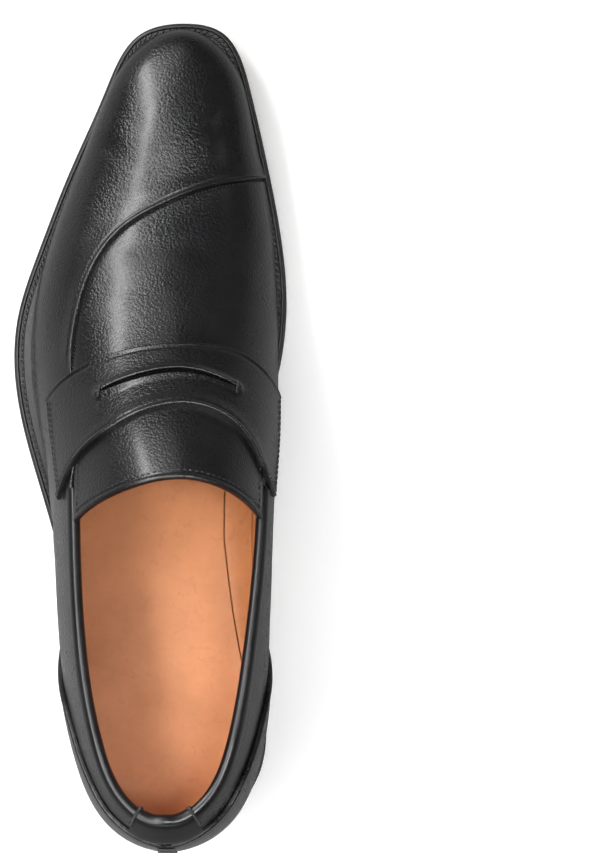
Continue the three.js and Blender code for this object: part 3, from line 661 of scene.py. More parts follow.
def stitch_tree():
    """Geometry nodes: a row of stitches along an edge path, each lying along it."""
    name = "Stitch Row"
    if name in bpy.data.node_groups:
        return bpy.data.node_groups[name]
    tree = bpy.data.node_groups.new(name, "GeometryNodeTree")
    face = tree.interface
    face.new_socket("Path", in_out="INPUT", socket_type="NodeSocketGeometry")
    for label, default in (("Pitch", 0.0026), ("Length", 0.0022), ("Width", 0.0006),
                           ("Height", 0.0005), ("Turn", 0.0)):
        s = face.new_socket(label, in_out="INPUT", socket_type="NodeSocketFloat")
        s.default_value = default
    face.new_socket("Thread", in_out="INPUT", socket_type="NodeSocketMaterial")
    face.new_socket("Stitches", in_out="OUTPUT", socket_type="NodeSocketGeometry")
    g = node(tree, "NodeGroupInput", (-900, 0))
    curve = node(tree, "GeometryNodeMeshToCurve", (-700, 100), {"Mesh": g.outputs["Path"]})
    row = node(tree, "GeometryNodeResampleCurve", (-520, 100), {
        "Curve": curve.outputs[0], "Length": g.outputs["Pitch"]}, mode="LENGTH")
    grain = node(tree, "GeometryNodeMeshUVSphere", (-700, -150), {
        "Segments": 6, "Rings": 5, "Radius": 0.5})
    size = node(tree, "ShaderNodeCombineXYZ", (-700, -320), {
        "X": g.outputs["Length"], "Y": g.outputs["Width"], "Z": g.outputs["Height"]})
    stitch = node(tree, "GeometryNodeTransform", (-500, -200), {
        "Geometry": grain.outputs[0], "Scale": size.outputs[0]})
    up = node(tree, "GeometryNodeInputNamedAttribute", (-700, -480), {"Name": "up"},
              data_type="FLOAT_VECTOR")
    tangent = node(tree, "GeometryNodeInputTangent", (-700, -620))
    stand = node(tree, "FunctionNodeAlignRotationToVector", (-500, -480), {
        "Vector": up.outputs["Attribute"]}, axis="Z")
    lie = node(tree, "FunctionNodeAlignRotationToVector", (-320, -480), {
        "Rotation": stand.outputs[0], "Vector": tangent.outputs[0]}, axis="X", pivot_axis="Z")
    angle = node(tree, "ShaderNodeCombineXYZ", (-500, -640), {"Z": g.outputs["Turn"]})
    turn = node(tree, "FunctionNodeEulerToRotation", (-320, -640), {0: angle.outputs[0]})
    final = node(tree, "FunctionNodeRotateRotation", (-140, -480), {
        "Rotation": lie.outputs[0], "Rotate By": turn.outputs[0]}, rotation_space="LOCAL")
    put = node(tree, "GeometryNodeInstanceOnPoints", (0, 100), {
        "Points": row.outputs[0], "Instance": stitch.outputs[0], "Rotation": final.outputs[0]})
    real = node(tree, "GeometryNodeRealizeInstances", (180, 100), {"Geometry": put.outputs[0]})
    shade = node(tree, "GeometryNodeSetShadeSmooth", (340, 100), {"Geometry": real.outputs[0]})
    paint = node(tree, "GeometryNodeSetMaterial", (500, 100), {
        "Geometry": shade.outputs[0], "Material": g.outputs["Thread"]})
    out = node(tree, "NodeGroupOutput", (680, 100))
    join(tree, paint.outputs[0], out.inputs[0])
    return tree


def stitch_row(name, lines, material, pitch_mm, length, width, height, turn=0.0):
    """Stitches along lines, each a pair of points and of up directions, in millimetres."""
    verts, ups, edges = [], [], []
    for points, up in lines:
        base = len(verts)
        verts += list(place(points))
        ups += list(np.asarray(up, float))
        edges += [(base + k, base + k + 1) for k in range(len(points) - 1)]
    mesh = bpy.data.meshes.new(name + "_path")
    mesh.from_pydata([tuple(v) for v in verts], edges, [])
    attribute = mesh.attributes.new("up", "FLOAT_VECTOR", "POINT")
    attribute.data.foreach_set("vector", np.asarray(ups, np.float32).ravel())
    path = bpy.data.objects.new(name + "_path", mesh)
    bpy.context.scene.collection.objects.link(path)
    modifier = path.modifiers.new("Stitches", "NODES")
    modifier.node_group = stitch_tree()
    sockets = {s.name: s.identifier for s in modifier.node_group.interface.items_tree
               if s.item_type == "SOCKET" and s.in_out == "INPUT"}
    for label, value in (("Pitch", pitch_mm / 1000), ("Length", length / 1000),
                         ("Width", width / 1000), ("Height", height / 1000), ("Turn", turn)):
        modifier[sockets[label]] = value
    modifier[sockets["Thread"]] = material
    graph = bpy.context.evaluated_depsgraph_get()
    made = bpy.data.meshes.new_from_object(path.evaluated_get(graph), depsgraph=graph)
    path.modifiers.clear()
    bpy.data.objects.remove(path)
    obj = bpy.data.objects.new(name, made)
    bpy.context.scene.collection.objects.link(obj)
    return obj


def row_on(curve, off, low=0.0, high=1.0):
    """Points and up directions along a share of a curve on the surface."""
    n = len(curve)
    k = np.linspace(low * (n - 1), high * (n - 1), max(8, n))
    i = np.arange(n)
    y, t = np.interp(k, i, curve[:, 0]), np.interp(k, i, curve[:, 1])
    return off_last(y, t, off), last_normal(y, t)


# ---- flat pieces ----------------------------------------------------------------------------------
def plate(name, sides, ys, top, bottom, material, rim=0.4, step=1.5, from_welt=True):
    """A slab between the two sides of an outline, with rounded edges.

    top(x, y, edge) and bottom(x, y, edge) give its faces; edge is the distance from its edge. Its
    levels count from the welt's top face, or from the floor.
    """
    v = pitch(80.0, step)
    left = sides.look(ys, False)[:, 0]
    right = sides.look(ys, True)[:, 0]
    x = left[:, None] + (right - left)[:, None] * v[None]
    flat = np.stack([x, ys[:, None] + 0 * x, 0 * x], -1).reshape(-1, 3)
    first, faces = weld(flat, grid_faces(len(ys), len(v)).tolist())
    flat = flat[first]
    faces = [f[::-1] for f in faces]
    a, b, c = (flat[faces[0][k]] for k in range(3))
    if np.cross(b - a, c - a)[2] < 0:
        faces = [f[::-1] for f in faces]
    edge = edge_distance(flat, free_edges(faces), 30.0)
    drop = rounding(rim, edge)
    high, low = flat.copy(), flat.copy()
    high[:, 2] = top(flat[:, 0], flat[:, 1], edge) - drop
    low[:, 2] = bottom(flat[:, 0], flat[:, 1], edge) + drop
    obj = closed_sheet(name, low, high, faces, material)
    both = np.concatenate([high, low])
    mark(obj, "level", both[:, 2] - welt_top(both[:, 1]) if from_welt else both[:, 2])
    mark(obj, "edge", np.concatenate([edge, edge]))
    return obj


def mark(obj, name, values):
    """Keeps a number for each vertex of a piece for its material to read."""
    attribute = obj.data.attributes.new(name, "FLOAT", "POINT")
    attribute.data.foreach_set("value", np.asarray(values, np.float32))


def round_stations(y0, y1, count, fine=()):
    """Stations close together at both round ends of an outline, with extra ones at fine."""
    ys = y0 + (y1 - y0) * (1 - np.cos(np.pi * np.linspace(0, 1, count + 1))) / 2
    return np.unique(np.round(np.concatenate([ys, fine]), 5))


def heel_plate_stations(y0, y1, count):
    """Stations close together at the round back, and at the square front edge."""
    ys = y0 + (y1 - y0) * (1 - np.cos(np.pi * np.linspace(0, 1, count + 1) / 2))
    return np.unique(np.round(np.concatenate([ys, y1 - np.array([0.1, 0.25, 0.5])]), 5))


def ring(name, limit, forward, section, material):
    """A strip swept round the sole outline, forward of the station limit or behind it.

    section is a list of (distance in from the sole edge, height off the welt top, share of the way
    to the inner hole).
    """
    s = np.linspace(0, 1, 1600, endpoint=False)
    if forward:
        s = s[sole_outline(s)[:, 1] > limit]
    else:
        s = s[sole_outline(s)[:, 1] < limit]
        s = np.sort(np.where(s > 0.5, s - 1, s))
    keep = np.linspace(0, len(s) - 1, 520 if forward else 220).round().astype(int)
    s = s[np.unique(keep)]
    o, n = sole_outline(s), sideways(sole_outline, s)
    hole_s = np.linspace(0, 1, 4000, endpoint=False)
    h = last_outline(hole_s)
    hole = h[:, :2] - sideways(last_outline, hole_s) * (h[:, 2] + 3.0)[:, None]
    gap = np.linalg.norm(o[:, None] - hole[None, ::4], axis=2)
    goal = hole[::4][np.argmin(gap, axis=1)]
    loops = []
    for inset, rise, share in section:
        p = (o - n * inset) * (1 - share) + goal * share
        loops.append(np.column_stack([p, welt_top(p[:, 1]) + rise]))
    P = np.stack(loops, 1)
    m, k = P.shape[:2]
    faces = tube_faces(m, k)
    faces.append(list(range(k))[::-1])
    faces.append(list(range((m - 1) * k, m * k)))
    obj = new_object(name, P.reshape(-1, 3), faces, material, 40.0)
    recalc(obj)
    mark(obj, "level", np.tile([rise for _, rise, _ in section], m))
    mark(obj, "edge", np.tile([inset + 20 * share for inset, _, share in section], m))
    return obj


def tube_faces(m, k):
    """Quads between m loops of k points each."""
    return [[i * k + j, i * k + (j + 1) % k, (i + 1) * k + (j + 1) % k, (i + 1) * k + j]
            for i in range(m - 1) for j in range(k)]


def recalc(obj):
    """Turns every face of a closed piece outwards."""
    bm = bmesh.new()
    bm.from_mesh(obj.data)
    bmesh.ops.recalc_face_normals(bm, faces=bm.faces)
    bm.to_mesh(obj.data)
    bm.free()


def settle(obj, nodes, body=SHOE):
    """Hides the CAD nodes a piece stands for, and makes it ride."""
    if nodes:
        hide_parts(*nodes)
    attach(obj, body)
    return obj


# ---- finishes -------------------------------------------------------------------------------------
def group(name, inputs, outputs):
    """A new shader group with those sockets, and its input and output nodes."""
    tree = bpy.data.node_groups.new(name, "ShaderNodeTree")
    for label, kind, default in inputs:
        s = tree.interface.new_socket(label, in_out="INPUT", socket_type="NodeSocket" + kind)
        if default is not None:
            s.default_value = default
    for label, kind in outputs:
        tree.interface.new_socket(label, in_out="OUTPUT", socket_type="NodeSocket" + kind)
    return tree, node(tree, "NodeGroupInput", (-900, 0)), node(tree, "NodeGroupOutput", (900, 0))


def grain_group():
    """Pebbled grain with pores: a height, and a mask that is 1 in the valleys, where some finishes paint
    shade.
    """
    tree, i, o = group("Leather Grain", [("Vector", "Vector", None), ("Scale", "Float", 1200.0),
                                         ("Fine", "Float", 0.35)],
                       [("Height", "Float"), ("Shaded Valley", "Float")])
    vector, scale = i.outputs["Vector"], i.outputs["Scale"]
    wide = sum_node(tree, "MULTIPLY", (-720, 200), scale, 0.35)
    warp = node(tree, "ShaderNodeTexNoise", (-540, 200), {"Vector": vector, "Scale": wide, "Detail": 2.0})
    shift = node(tree, "ShaderNodeVectorMath", (-360, 200), {0: warp.outputs["Color"], 1: (0.0006,) * 3},
                 operation="MULTIPLY")
    moved = node(tree, "ShaderNodeVectorMath", (-200, 200), {0: vector, 1: shift.outputs[0]},
                 operation="ADD")
    cells = node(tree, "ShaderNodeTexVoronoi", (0, 200), {
        "Vector": moved.outputs[0], "Scale": scale, "Smoothness": 0.5}, feature="SMOOTH_F1")
    fine = sum_node(tree, "MULTIPLY", (-360, -100), scale, 2.6)
    pores = node(tree, "ShaderNodeTexNoise", (-180, -100), {
        "Vector": vector, "Scale": fine, "Detail": 3.0, "Roughness": 0.6})
    broad = sum_node(tree, "MULTIPLY", (-360, -300), scale, 0.04)
    patch = node(tree, "ShaderNodeTexNoise", (-180, -300), {
        "Vector": vector, "Scale": broad, "Detail": 2.0})
    depth = node(tree, "ShaderNodeMapRange", (20, -300), {
        "Value": patch.outputs[0], "From Min": 0.35, "From Max": 0.65, "To Min": 0.55, "To Max": 1.0})
    hill = sum_node(tree, "SUBTRACT", (200, 200), 1.0, cells.outputs["Distance"])
    deep = sum_node(tree, "MULTIPLY", (360, 150), hill, depth.outputs[0])
    small = sum_node(tree, "MULTIPLY", (360, -60), pores.outputs[0], i.outputs["Fine"])
    join(tree, sum_node(tree, "ADD", (540, 100), deep, small), o.inputs["Height"])
    # The valley mask is where the finishes paint shade into the grain's hollows.
    join(tree, cells.outputs["Distance"], o.inputs["Shaded Valley"])
    return tree


def wear_group():
    """Broad handling marks and rubbed places: a mask from 0 to 1."""
    tree, i, o = group("Handling", [("Vector", "Vector", None), ("Scale", "Float", 30.0)],
                       [("Mask", "Float"), ("Streak", "Float")])
    broad = node(tree, "ShaderNodeTexNoise", (-500, 150), {
        "Vector": i.outputs["Vector"], "Scale": i.outputs["Scale"], "Detail": 5.0, "Roughness": 0.62})
    mask = node(tree, "ShaderNodeMapRange", (-300, 150), {
        "Value": broad.outputs[0], "From Min": 0.35, "From Max": 0.68})
    fine = sum_node(tree, "MULTIPLY", (-700, -150), i.outputs["Scale"], 9.0)
    scratch = node(tree, "ShaderNodeTexNoise", (-500, -150), {
        "Vector": i.outputs["Vector"], "Scale": fine, "Detail": 3.0, "Distortion": 1.2})
    streak = node(tree, "ShaderNodeMapRange", (-300, -150), {
        "Value": scratch.outputs[0], "From Min": 0.56, "From Max": 0.72})
    join(tree, mask.outputs[0], o.inputs["Mask"])
    join(tree, streak.outputs[0], o.inputs["Streak"])
    return tree


def lines_group():
    """Fine lines along an edge of stacked or planed leather, level by level in millimetres."""
    tree, i, o = group("Edge Lines", [("Vector", "Vector", None), ("Level", "Float", 0.0),
                                      ("Pitch", "Float", 0.8)],
                       [("Height", "Float"), ("Line", "Float")])
    wander = node(tree, "ShaderNodeTexNoise", (-700, 200), {
        "Vector": i.outputs["Vector"], "Scale": 60.0, "Detail": 2.0})
    level = sum_node(tree, "DIVIDE", (-500, 0), i.outputs["Level"], i.outputs["Pitch"])
    bent = sum_node(tree, "ADD", (-340, 50), level, wander.outputs[0])
    part = sum_node(tree, "FRACT", (-180, 50), bent)
    peak = sum_node(tree, "SUBTRACT", (-20, 50), part, 0.5)
    size = sum_node(tree, "ABSOLUTE", (140, 50), peak)
    line = node(tree, "ShaderNodeMapRange", (300, 50), {"Value": size, "From Min": 0.36, "From Max": 0.5})
    join(tree, sum_node(tree, "SUBTRACT", (460, 150), 1.0, line.outputs[0]), o.inputs["Height"])
    join(tree, line.outputs[0], o.inputs["Line"])
    return tree


GROUPS = {}
FINISHES = {}


def shared(name):
    """The shared effects, each built once."""
    makers = {"grain": grain_group, "wear": wear_group, "lines": lines_group}
    if name not in GROUPS:
        GROUPS[name] = makers[name]()
    return GROUPS[name]


class Finish:
    """A material with a Principled BSDF and the shared effects feeding it."""

    def __init__(self, name, coat=0.0, coat_roughness=0.2, metallic=0.0, specular=0.5):
        self.material = bpy.data.materials.new(name)
        self.material.use_nodes = True
        self.tree = self.material.node_tree
        self.bsdf = self.tree.nodes["Principled BSDF"]
        self.bsdf.inputs["Coat Weight"].default_value = coat
        self.bsdf.inputs["Coat Roughness"].default_value = coat_roughness
        self.bsdf.inputs["Metallic"].default_value = metallic
        self.bsdf.inputs["Specular IOR Level"].default_value = specular
        self.at = node(self.tree, "ShaderNodeTexCoord", (-1300, 0)).outputs["Object"]

    def effect(self, kind, at=(-1000, 0), **values):
        """A shared effect on this material's coordinates, with its own values."""
        n = node(self.tree, "ShaderNodeGroup", at, node_tree=shared(kind))
        join(self.tree, self.at, n.inputs["Vector"])
        for key, value in values.items():
            if hasattr(value, "links"):
                join(self.tree, value, n.inputs[key.capitalize()])
            else:
                n.inputs[key.capitalize()].default_value = value
        return n

    def read(self, name):
        """A number that the piece keeps for each vertex."""
        return node(self.tree, "ShaderNodeAttribute", (-1300, -300), attribute_name=name).outputs["Fac"]

    def mix(self, factor, a, b):
        """Colour a where factor is 0 and b where it is 1; both are colours or sockets."""
        n = node(self.tree, "ShaderNodeMix", (-400, 200), data_type="RGBA")
        join(self.tree, factor, n.inputs["Factor"])
        for slot, value in (("A", a), ("B", b)):
            s = [x for x in n.inputs if x.name == slot and x.type == "RGBA"][0]
            if hasattr(value, "links"):
                join(self.tree, value, s)
            else:
                s.default_value = (*value[:3], 1.0)
        return [x for x in n.outputs if x.type == "RGBA"][0]

    def ramp(self, value, low, high, to_low, to_high):
        """The value's range low..high stretched to to_low..to_high."""
        return node(self.tree, "ShaderNodeMapRange", (-400, -100), {
            "Value": value, "From Min": low, "From Max": high, "To Min": to_low, "To Max": to_high
        }).outputs[0]

    def rough(self, wear, low, high):
        """Roughness from low to high with a mask of handling."""
        return self.ramp(wear.outputs["Mask"], 0, 1, low, high)

    def feed(self, color, roughness, height, depth, strength):
        """Joins colour, roughness and bump, depth in metres, to the shader."""
        join(self.tree, color, self.bsdf.inputs["Base Color"])
        join(self.tree, roughness, self.bsdf.inputs["Roughness"])
        bump = node(self.tree, "ShaderNodeBump", (-200, -300), {
            "Strength": strength, "Distance": depth, "Height": height})
        join(self.tree, bump.outputs[0], self.bsdf.inputs["Normal"])
        return self.material


def times(color, share, plus=0.0):
    """A colour made lighter or darker."""
    return tuple(min(1, c * share + plus) for c in color)


def black_leather(p):
    """Pebbled calf with a polished coat."""
    f = Finish("Black Leather", coat=0.45, coat_roughness=0.2, specular=0.5)
    grain = f.effect("grain", scale=p.grain_scale, fine=0.32)
    wear = f.effect("wear", (-1000, 300), scale=26.0)
    dark = tuple(p.leather_color)
    color = f.mix(wear.outputs["Mask"], dark, times(dark, 1.8, 0.001))
    # Painted shade: the leather is made darker in the grain's valleys.
    color = f.mix(f.ramp(grain.outputs["Shaded Valley"], 0.35, 0.8, 0.0, 0.5), color, times(dark, 0.4))
    rough = f.rough(wear, p.leather_roughness - 0.04, p.leather_roughness + 0.07)
    return f.feed(color, rough, grain.outputs["Height"], 0.00033, p.grain_depth)


def trim_leather(p):
    """The smoother folded leather of bindings and trims."""
    f = Finish("Black Trim Leather", coat=0.2, coat_roughness=0.18)
    grain = f.effect("grain", scale=p.grain_scale * 1.5, fine=0.4)
    wear = f.effect("wear", (-1000, 300), scale=50.0)
    dark = tuple(p.leather_color)
    color = f.mix(wear.outputs["Mask"], dark, times(dark, 1.8))
    return f.feed(color, f.rough(wear, 0.28, 0.38), grain.outputs["Height"], 0.0001, 0.3)


def tan_leather(p):
    """Bare lining leather, darker where it was handled."""
    f = Finish("Tan Lining Leather", coat=0.03, coat_roughness=0.4, specular=0.4)
    grain = f.effect("grain", scale=1500.0, fine=0.6)
    wear = f.effect("wear", (-1000, 300), scale=22.0)
    tan = tuple(p.lining_color)
    stain = (tan[0] * 0.78, tan[1] * 0.68, tan[2] * 0.6)
    color = f.mix(wear.outputs["Mask"], times(tan, 0.8), times(tan, 1.12))
    color = f.mix(f.ramp(wear.outputs["Streak"], 0, 1, 0.0, 0.35), color, stain)
    return f.feed(color, f.rough(wear, 0.62, 0.48), grain.outputs["Height"], 0.00012, 0.35)


def black_edge(_):
    """Blackened and waxed edges, with the lines of the leather's layers."""
    f = Finish("Black Edge", coat=0.12, coat_roughness=0.3)
    lines = f.effect("lines", level=f.read("level"), pitch=0.85)
    wear = f.effect("wear", (-1000, 300), scale=70.0)
    grain = f.effect("grain", (-1000, -500), scale=2400.0, fine=0.8)
    color = f.mix(wear.outputs["Mask"], (0.010, 0.010, 0.010), (0.026, 0.025, 0.024))
    color = f.mix(f.ramp(wear.outputs["Streak"], 0, 1, 0.0, 0.5), color, (0.055, 0.052, 0.050))
    height = sum_node(f.tree, "MULTIPLY_ADD", (-500, -300), grain.outputs["Height"], 0.3,
                      lines.outputs["Height"])
    return f.feed(color, f.rough(wear, 0.34, 0.52), height, 0.00018, 0.6)


def sole_leather(p):
    """Bare sole leather with a blackened margin."""
    f = Finish("Sole Leather", coat=0.06, coat_roughness=0.3)
    grain = f.effect("grain", scale=900.0, fine=0.9)
    wear = f.effect("wear", (-1000, 300), scale=24.0)
    tan = tuple(p.sole_color)
    color = f.mix(wear.outputs["Mask"], tan, times(tan, 0.66))
    color = f.mix(f.ramp(wear.outputs["Streak"], 0, 1, 0.0, 0.6), color, times(tan, 0.42))
    margin = f.ramp(f.read("edge"), 3.2, 4.6, 1.0, 0.0)
    color = f.mix(margin, color, (0.013, 0.012, 0.012))
    return f.feed(color, f.rough(wear, 0.42, 0.6), grain.outputs["Height"], 0.00016, 0.4)


def stack_leather(p):
    """The bare front of the heel's stacked lifts."""
    f = Finish("Heel Stack Leather", specular=0.35)
    lines = f.effect("lines", level=f.read("level"), pitch=0.7)
    grain = f.effect("grain", (-1000, -500), scale=1500.0, fine=1.0)
    wear = f.effect("wear", (-1000, 300), scale=90.0)
    tan = tuple(p.sole_color)
    color = f.mix(wear.outputs["Mask"], times(tan, 1.25), times(tan, 0.7))
    color = f.mix(f.ramp(lines.outputs["Line"], 0, 1, 0.0, 0.6), color, times(tan, 0.35))
    height = sum_node(f.tree, "MULTIPLY_ADD", (-500, -300), grain.outputs["Height"], 0.5,
                      lines.outputs["Height"])
    return f.feed(color, f.rough(wear, 0.55, 0.7), height, 0.0002, 0.5)


def plain_finish(name, low, high, roughness, scale, fine, depth, strength, metallic):
    """A finish mottled between two colours, with a grain of its own."""
    f = Finish(name, metallic=metallic)
    grain = f.effect("grain", scale=scale, fine=fine)
    wear = f.effect("wear", (-1000, 300), scale=60.0)
    color = f.mix(wear.outputs["Mask"], low, high)
    # Painted shade: the finish is made darker in the grain's valleys.
    color = f.mix(f.ramp(grain.outputs["Shaded Valley"], 0.4, 0.9, 0.0, 0.6), color, times(low, 0.55))
    rough = f.rough(wear, roughness - 0.06, roughness + 0.08)
    return f.feed(color, rough, grain.outputs["Height"], depth, strength)


LEATHERS = {"leather": black_leather, "trim": trim_leather, "lining": tan_leather, "edge": black_edge,
            "sole": sole_leather, "stack": stack_leather}
# Dark and light colour, roughness, grain's scale, fineness, depth in metres and strength, metallic.
PLAIN = {
    "board": ("Board", (0.30, 0.17, 0.09), (0.42, 0.26, 0.14), 0.75, 1400.0, 1.0, 0.0002, 0.5, 0.0),
    "cork": ("Cork", (0.20, 0.11, 0.05), (0.48, 0.30, 0.16), 0.85, 700.0, 1.0, 0.0004, 0.7, 0.0),
    "rubber": ("Rubber", (0.012, 0.012, 0.012), (0.03, 0.03, 0.03), 0.55, 1300.0, 0.8, 0.0002, 0.5, 0.0),
    "thread": ("Waxed Thread", (0.018, 0.018, 0.019), (0.05, 0.05, 0.052), 0.42, 3200.0, 0.5, 0.0001,
               0.6, 0.0),
    "steel": ("Steel", (0.42, 0.43, 0.44), (0.56, 0.57, 0.58), 0.32, 2600.0, 0.6, 0.00005, 0.3, 1.0),
    "brass": ("Brass", (0.62, 0.42, 0.16), (0.75, 0.55, 0.24), 0.3, 2600.0, 0.6, 0.00005, 0.3, 1.0),
}


def finish(name):
    """The finish of that name, made with the panel's colours when it is first asked for."""
    if name in FINISHES:
        return FINISHES[name]
    if name in PLAIN:
        FINISHES[name] = plain_finish(*PLAIN[name])
    else:
        FINISHES[name] = LEATHERS[name](bpy.context.scene.loafer_finish)
    return FINISHES[name]


# ---- sizes and colours ----------------------------------------------------------------------------
class LoaferUpper(bpy.types.PropertyGroup):
    lap_rise: FloatProperty(
        name="Lap rise", description="How far the toe piece stands up at its seam, in mm",
        default=0.75, min=0.0, max=2.0)
    lap_fade: FloatProperty(
        name="Lap fade", description="How far back from the seam it stands up, in mm",
        default=9.0, min=2.0, max=30.0)
    rim: FloatProperty(
        name="Edge radius", description="Radius of the folded leather edges, in mm",
        default=0.62, min=0.1, max=0.7)
    slot_width: FloatProperty(
        name="Slot width", description="Width of the slit in the saddle strap, in mm",
        default=1.5, min=0.4, max=4.0)
    crease: FloatProperty(
        name="Creases", description="Strength of the soft creases", default=1.0, min=0.0, max=3.0)


class LoaferThread(bpy.types.PropertyGroup):
    pitch: FloatProperty(
        name="Stitch pitch", description="Distance from stitch to stitch on the upper, in mm",
        default=2.1, min=0.8, max=6.0)
    width: FloatProperty(
        name="Thread width", description="Width of the upper's thread, in mm",
        default=0.5, min=0.2, max=1.5)
    welt_pitch: FloatProperty(
        name="Welt stitch pitch", description="Distance from stitch to stitch on the welt, in mm",
        default=2.3, min=1.0, max=8.0)
    welt_width: FloatProperty(
        name="Welt thread width", description="Width of the welt thread, in mm",
        default=1.15, min=0.3, max=2.0)
    welt_slant: FloatProperty(
        name="Welt stitch slant", description="How far each welt stitch turns across the groove",
        default=0.5, subtype="ANGLE")


class LoaferFinish(bpy.types.PropertyGroup):
    leather_color: FloatVectorProperty(
        name="Upper leather", description="Colour of the black leather",
        default=(0.005, 0.005, 0.0056), size=3, subtype="COLOR", min=0.0, max=1.0)
    lining_color: FloatVectorProperty(
        name="Lining", description="Colour of the tan lining leather",
        default=(0.565, 0.228, 0.088), size=3, subtype="COLOR", min=0.0, max=1.0)
    sole_color: FloatVectorProperty(
        name="Sole", description="Colour of the bare sole leather",
        default=(0.36, 0.17, 0.085), size=3, subtype="COLOR", min=0.0, max=1.0)
    leather_roughness: FloatProperty(
        name="Leather roughness", description="Roughness of the black leather",
        default=0.28, min=0.05, max=1.0)
    grain_scale: FloatProperty(
        name="Grain scale", description="Pebbles per metre of the grain",
        default=1100.0, min=200.0, max=4000.0)
    grain_depth: FloatProperty(
        name="Grain strength", description="Strength of the grain", default=0.62, min=0.0, max=1.0)


class LoaferStage(bpy.types.PropertyGroup):
    camera_height: FloatProperty(
        name="Camera height", description="Height of the camera over the floor",
        default=1.3, min=0.5, max=3.0, unit="LENGTH")
    lens: FloatProperty(
        name="Lens", description="Focal length of the camera, in mm", default=147.1, min=35, max=300)
    key_power: FloatProperty(
        name="Light", description="Power of the large lights", default=11.0, min=0.0, max=500.0)
    floor_glow: FloatProperty(
        name="Floor glow", description="Light of the pale floor itself", default=0.3, min=0.0, max=2.0)
    world: FloatProperty(
        name="Surroundings", description="Strength of the plain surroundings",
        default=0.045, min=0.0, max=3.0)


# ---- pieces ---------------------------------------------------------------------------------------
def upper_piece(name, top, stations, outer, nodes):
    """One half of the upper: a wall from the sole edge up to the turns that top gives.

    The outer half lies over the toe seam with a raised, beaded edge; the inner half goes under it.
    """
    p = bpy.context.scene.loafer_upper
    ys = stations
    step = 1e-3
    across = off_last(ys, 0.5 + step + 0 * ys, UPPER[1]) - off_last(ys, 0.5 - step + 0 * ys, UPPER[1])
    speed = np.linalg.norm(across, axis=1) / (2 * step)
    gap = np.clip(0.16 / (speed + 1e-6), 0, 0.02)
    grid = wall(ys, top(ys, gap), pitch(86.0, 1.0), not outer)
    line = on_surface(SEAM_CURVE if outer else SEAM_UNDER, UPPER[1])

    def lap(points):
        d = near(points, line, 30.0)
        if outer:
            rise = p.lap_rise * (1 - smooth(d / p.lap_fade)) ** 1.4
            bead = swell(d, 0.34, 0.8, 0.6) - swell(d, 0.30, 1.9, 0.45)
            clear = smooth((points[:, 1] - 168) / 14)
            return clear * (rise + bead), clear * rise
        sink = -0.6 * (1 - smooth((d - 3.9) / 1.8))
        return sink, sink

    def lift(points):
        calm = 1 - 0.85 * smooth((points[:, 1] - 128) / 10) * (1 - smooth((points[:, 1] - 168) / 8))
        return lap(points)[0] + p.crease * creases(points) * calm

    obj = leather(name, [grid], UPPER, finish("leather"), p.rim, lift, lambda points: lap(points)[1])
    return settle(obj, nodes)


class LOAFER_OT_outer_upper(bpy.types.Operator):
    """Make the toe piece and outer quarter, cut from one piece of leather"""
    bl_idname = "loafer.outer_upper"
    bl_label = "Toe Piece and Outer Quarter"

    def execute(self, context):
        upper_piece("toe_piece_and_outer_quarter", outer_top, upper_stations(205, 243, None), True,
                    ["toe_outer_quarter"])
        return {"FINISHED"}


class LOAFER_OT_inner_upper(bpy.types.Operator):
    """Make the vamp and inner quarter, whose front edge goes under the toe piece"""
    bl_idname = "loafer.inner_upper"
    bl_label = "Vamp and Inner Quarter"

    def execute(self, context):
        end = float(SEAM_UNDER[-1, 0]) - 0.05
        upper_piece("vamp_and_inner_quarter", inner_top, upper_stations(205, 244, end), False,
                    ["vamp_inner_quarter"])
        return {"FINISHED"}


# The slit in the strap: x of its middle, half its length, and half the length of its raised lips.
SLIT_MIDDLE = 0.5
SLIT_HALF = 24.2
LIPS_HALF = 24.0


def strap_curves():
    """The strap's rear edge, the line of its slit and its front edge."""
    return [seam(points, STRAP_MIDDLE, 230) for points in (STRAP_BACK, SLOT, STRAP_FRONT)]


class LOAFER_OT_strap(bpy.types.Operator):
    """Make the saddle strap with its slit"""
    bl_idname = "loafer.strap"
    bl_label = "Saddle Strap"

    def execute(self, context):
        p = context.scene.loafer_upper
        back, slot, front = strap_curves()
        x = np.abs(off_last(slot[:, 0], slot[:, 1], STRAP_MIDDLE)[:, 0] - SLIT_MIDDLE)
        wide = 0.5 * p.slot_width * np.sqrt(np.clip(1 - (x / SLIT_HALF) ** 4, 0, None))
        rear, fore = slot.copy(), slot.copy()
        rear[:, 0] -= wide
        fore[:, 0] += wide
        patches = [between(back, rear, pitch(22.0, 0.9)), between(fore, front, pitch(13.0, 0.9))]
        lips = on_surface(slot[x < LIPS_HALF], STRAP_MIDDLE)
        rear_edge = on_surface(back, STRAP_MIDDLE)
        edges = np.vstack([rear_edge, on_surface(front, STRAP_MIDDLE)])

        def lift(points):
            e = near(points, edges, 8.0)
            lip = swell(near(points, lips, 8.0), 0.75, 1.3, 1.3)
            bead = swell(e, 0.22, 0.8, 0.6) - swell(e, 0.20, 1.9, 0.45)
            r = near(points, rear_edge, 9.0)
            stand = 0.6 * (1 - smooth(r / 7.0)) * smooth((points[:, 2] - 62) / 14)
            return 0.25 + lip + bead + stand + 0.5 * p.crease * creases(points)

        obj = leather("saddle_strap_leather", patches, OVERLAY, finish("leather"), p.rim, lift)
        settle(obj, ["saddle_strap"])
        return {"FINISHED"}


def tongue_lines():
    """The tongue's rear edge, and its front edge under the strap."""
    return [seam(points, count=150) for points in (TONGUE_BACK, TONGUE_FRONT)]


def bend(obj):
    """Bakes a piece of the tongue's placement into its mesh."""
    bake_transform(obj)


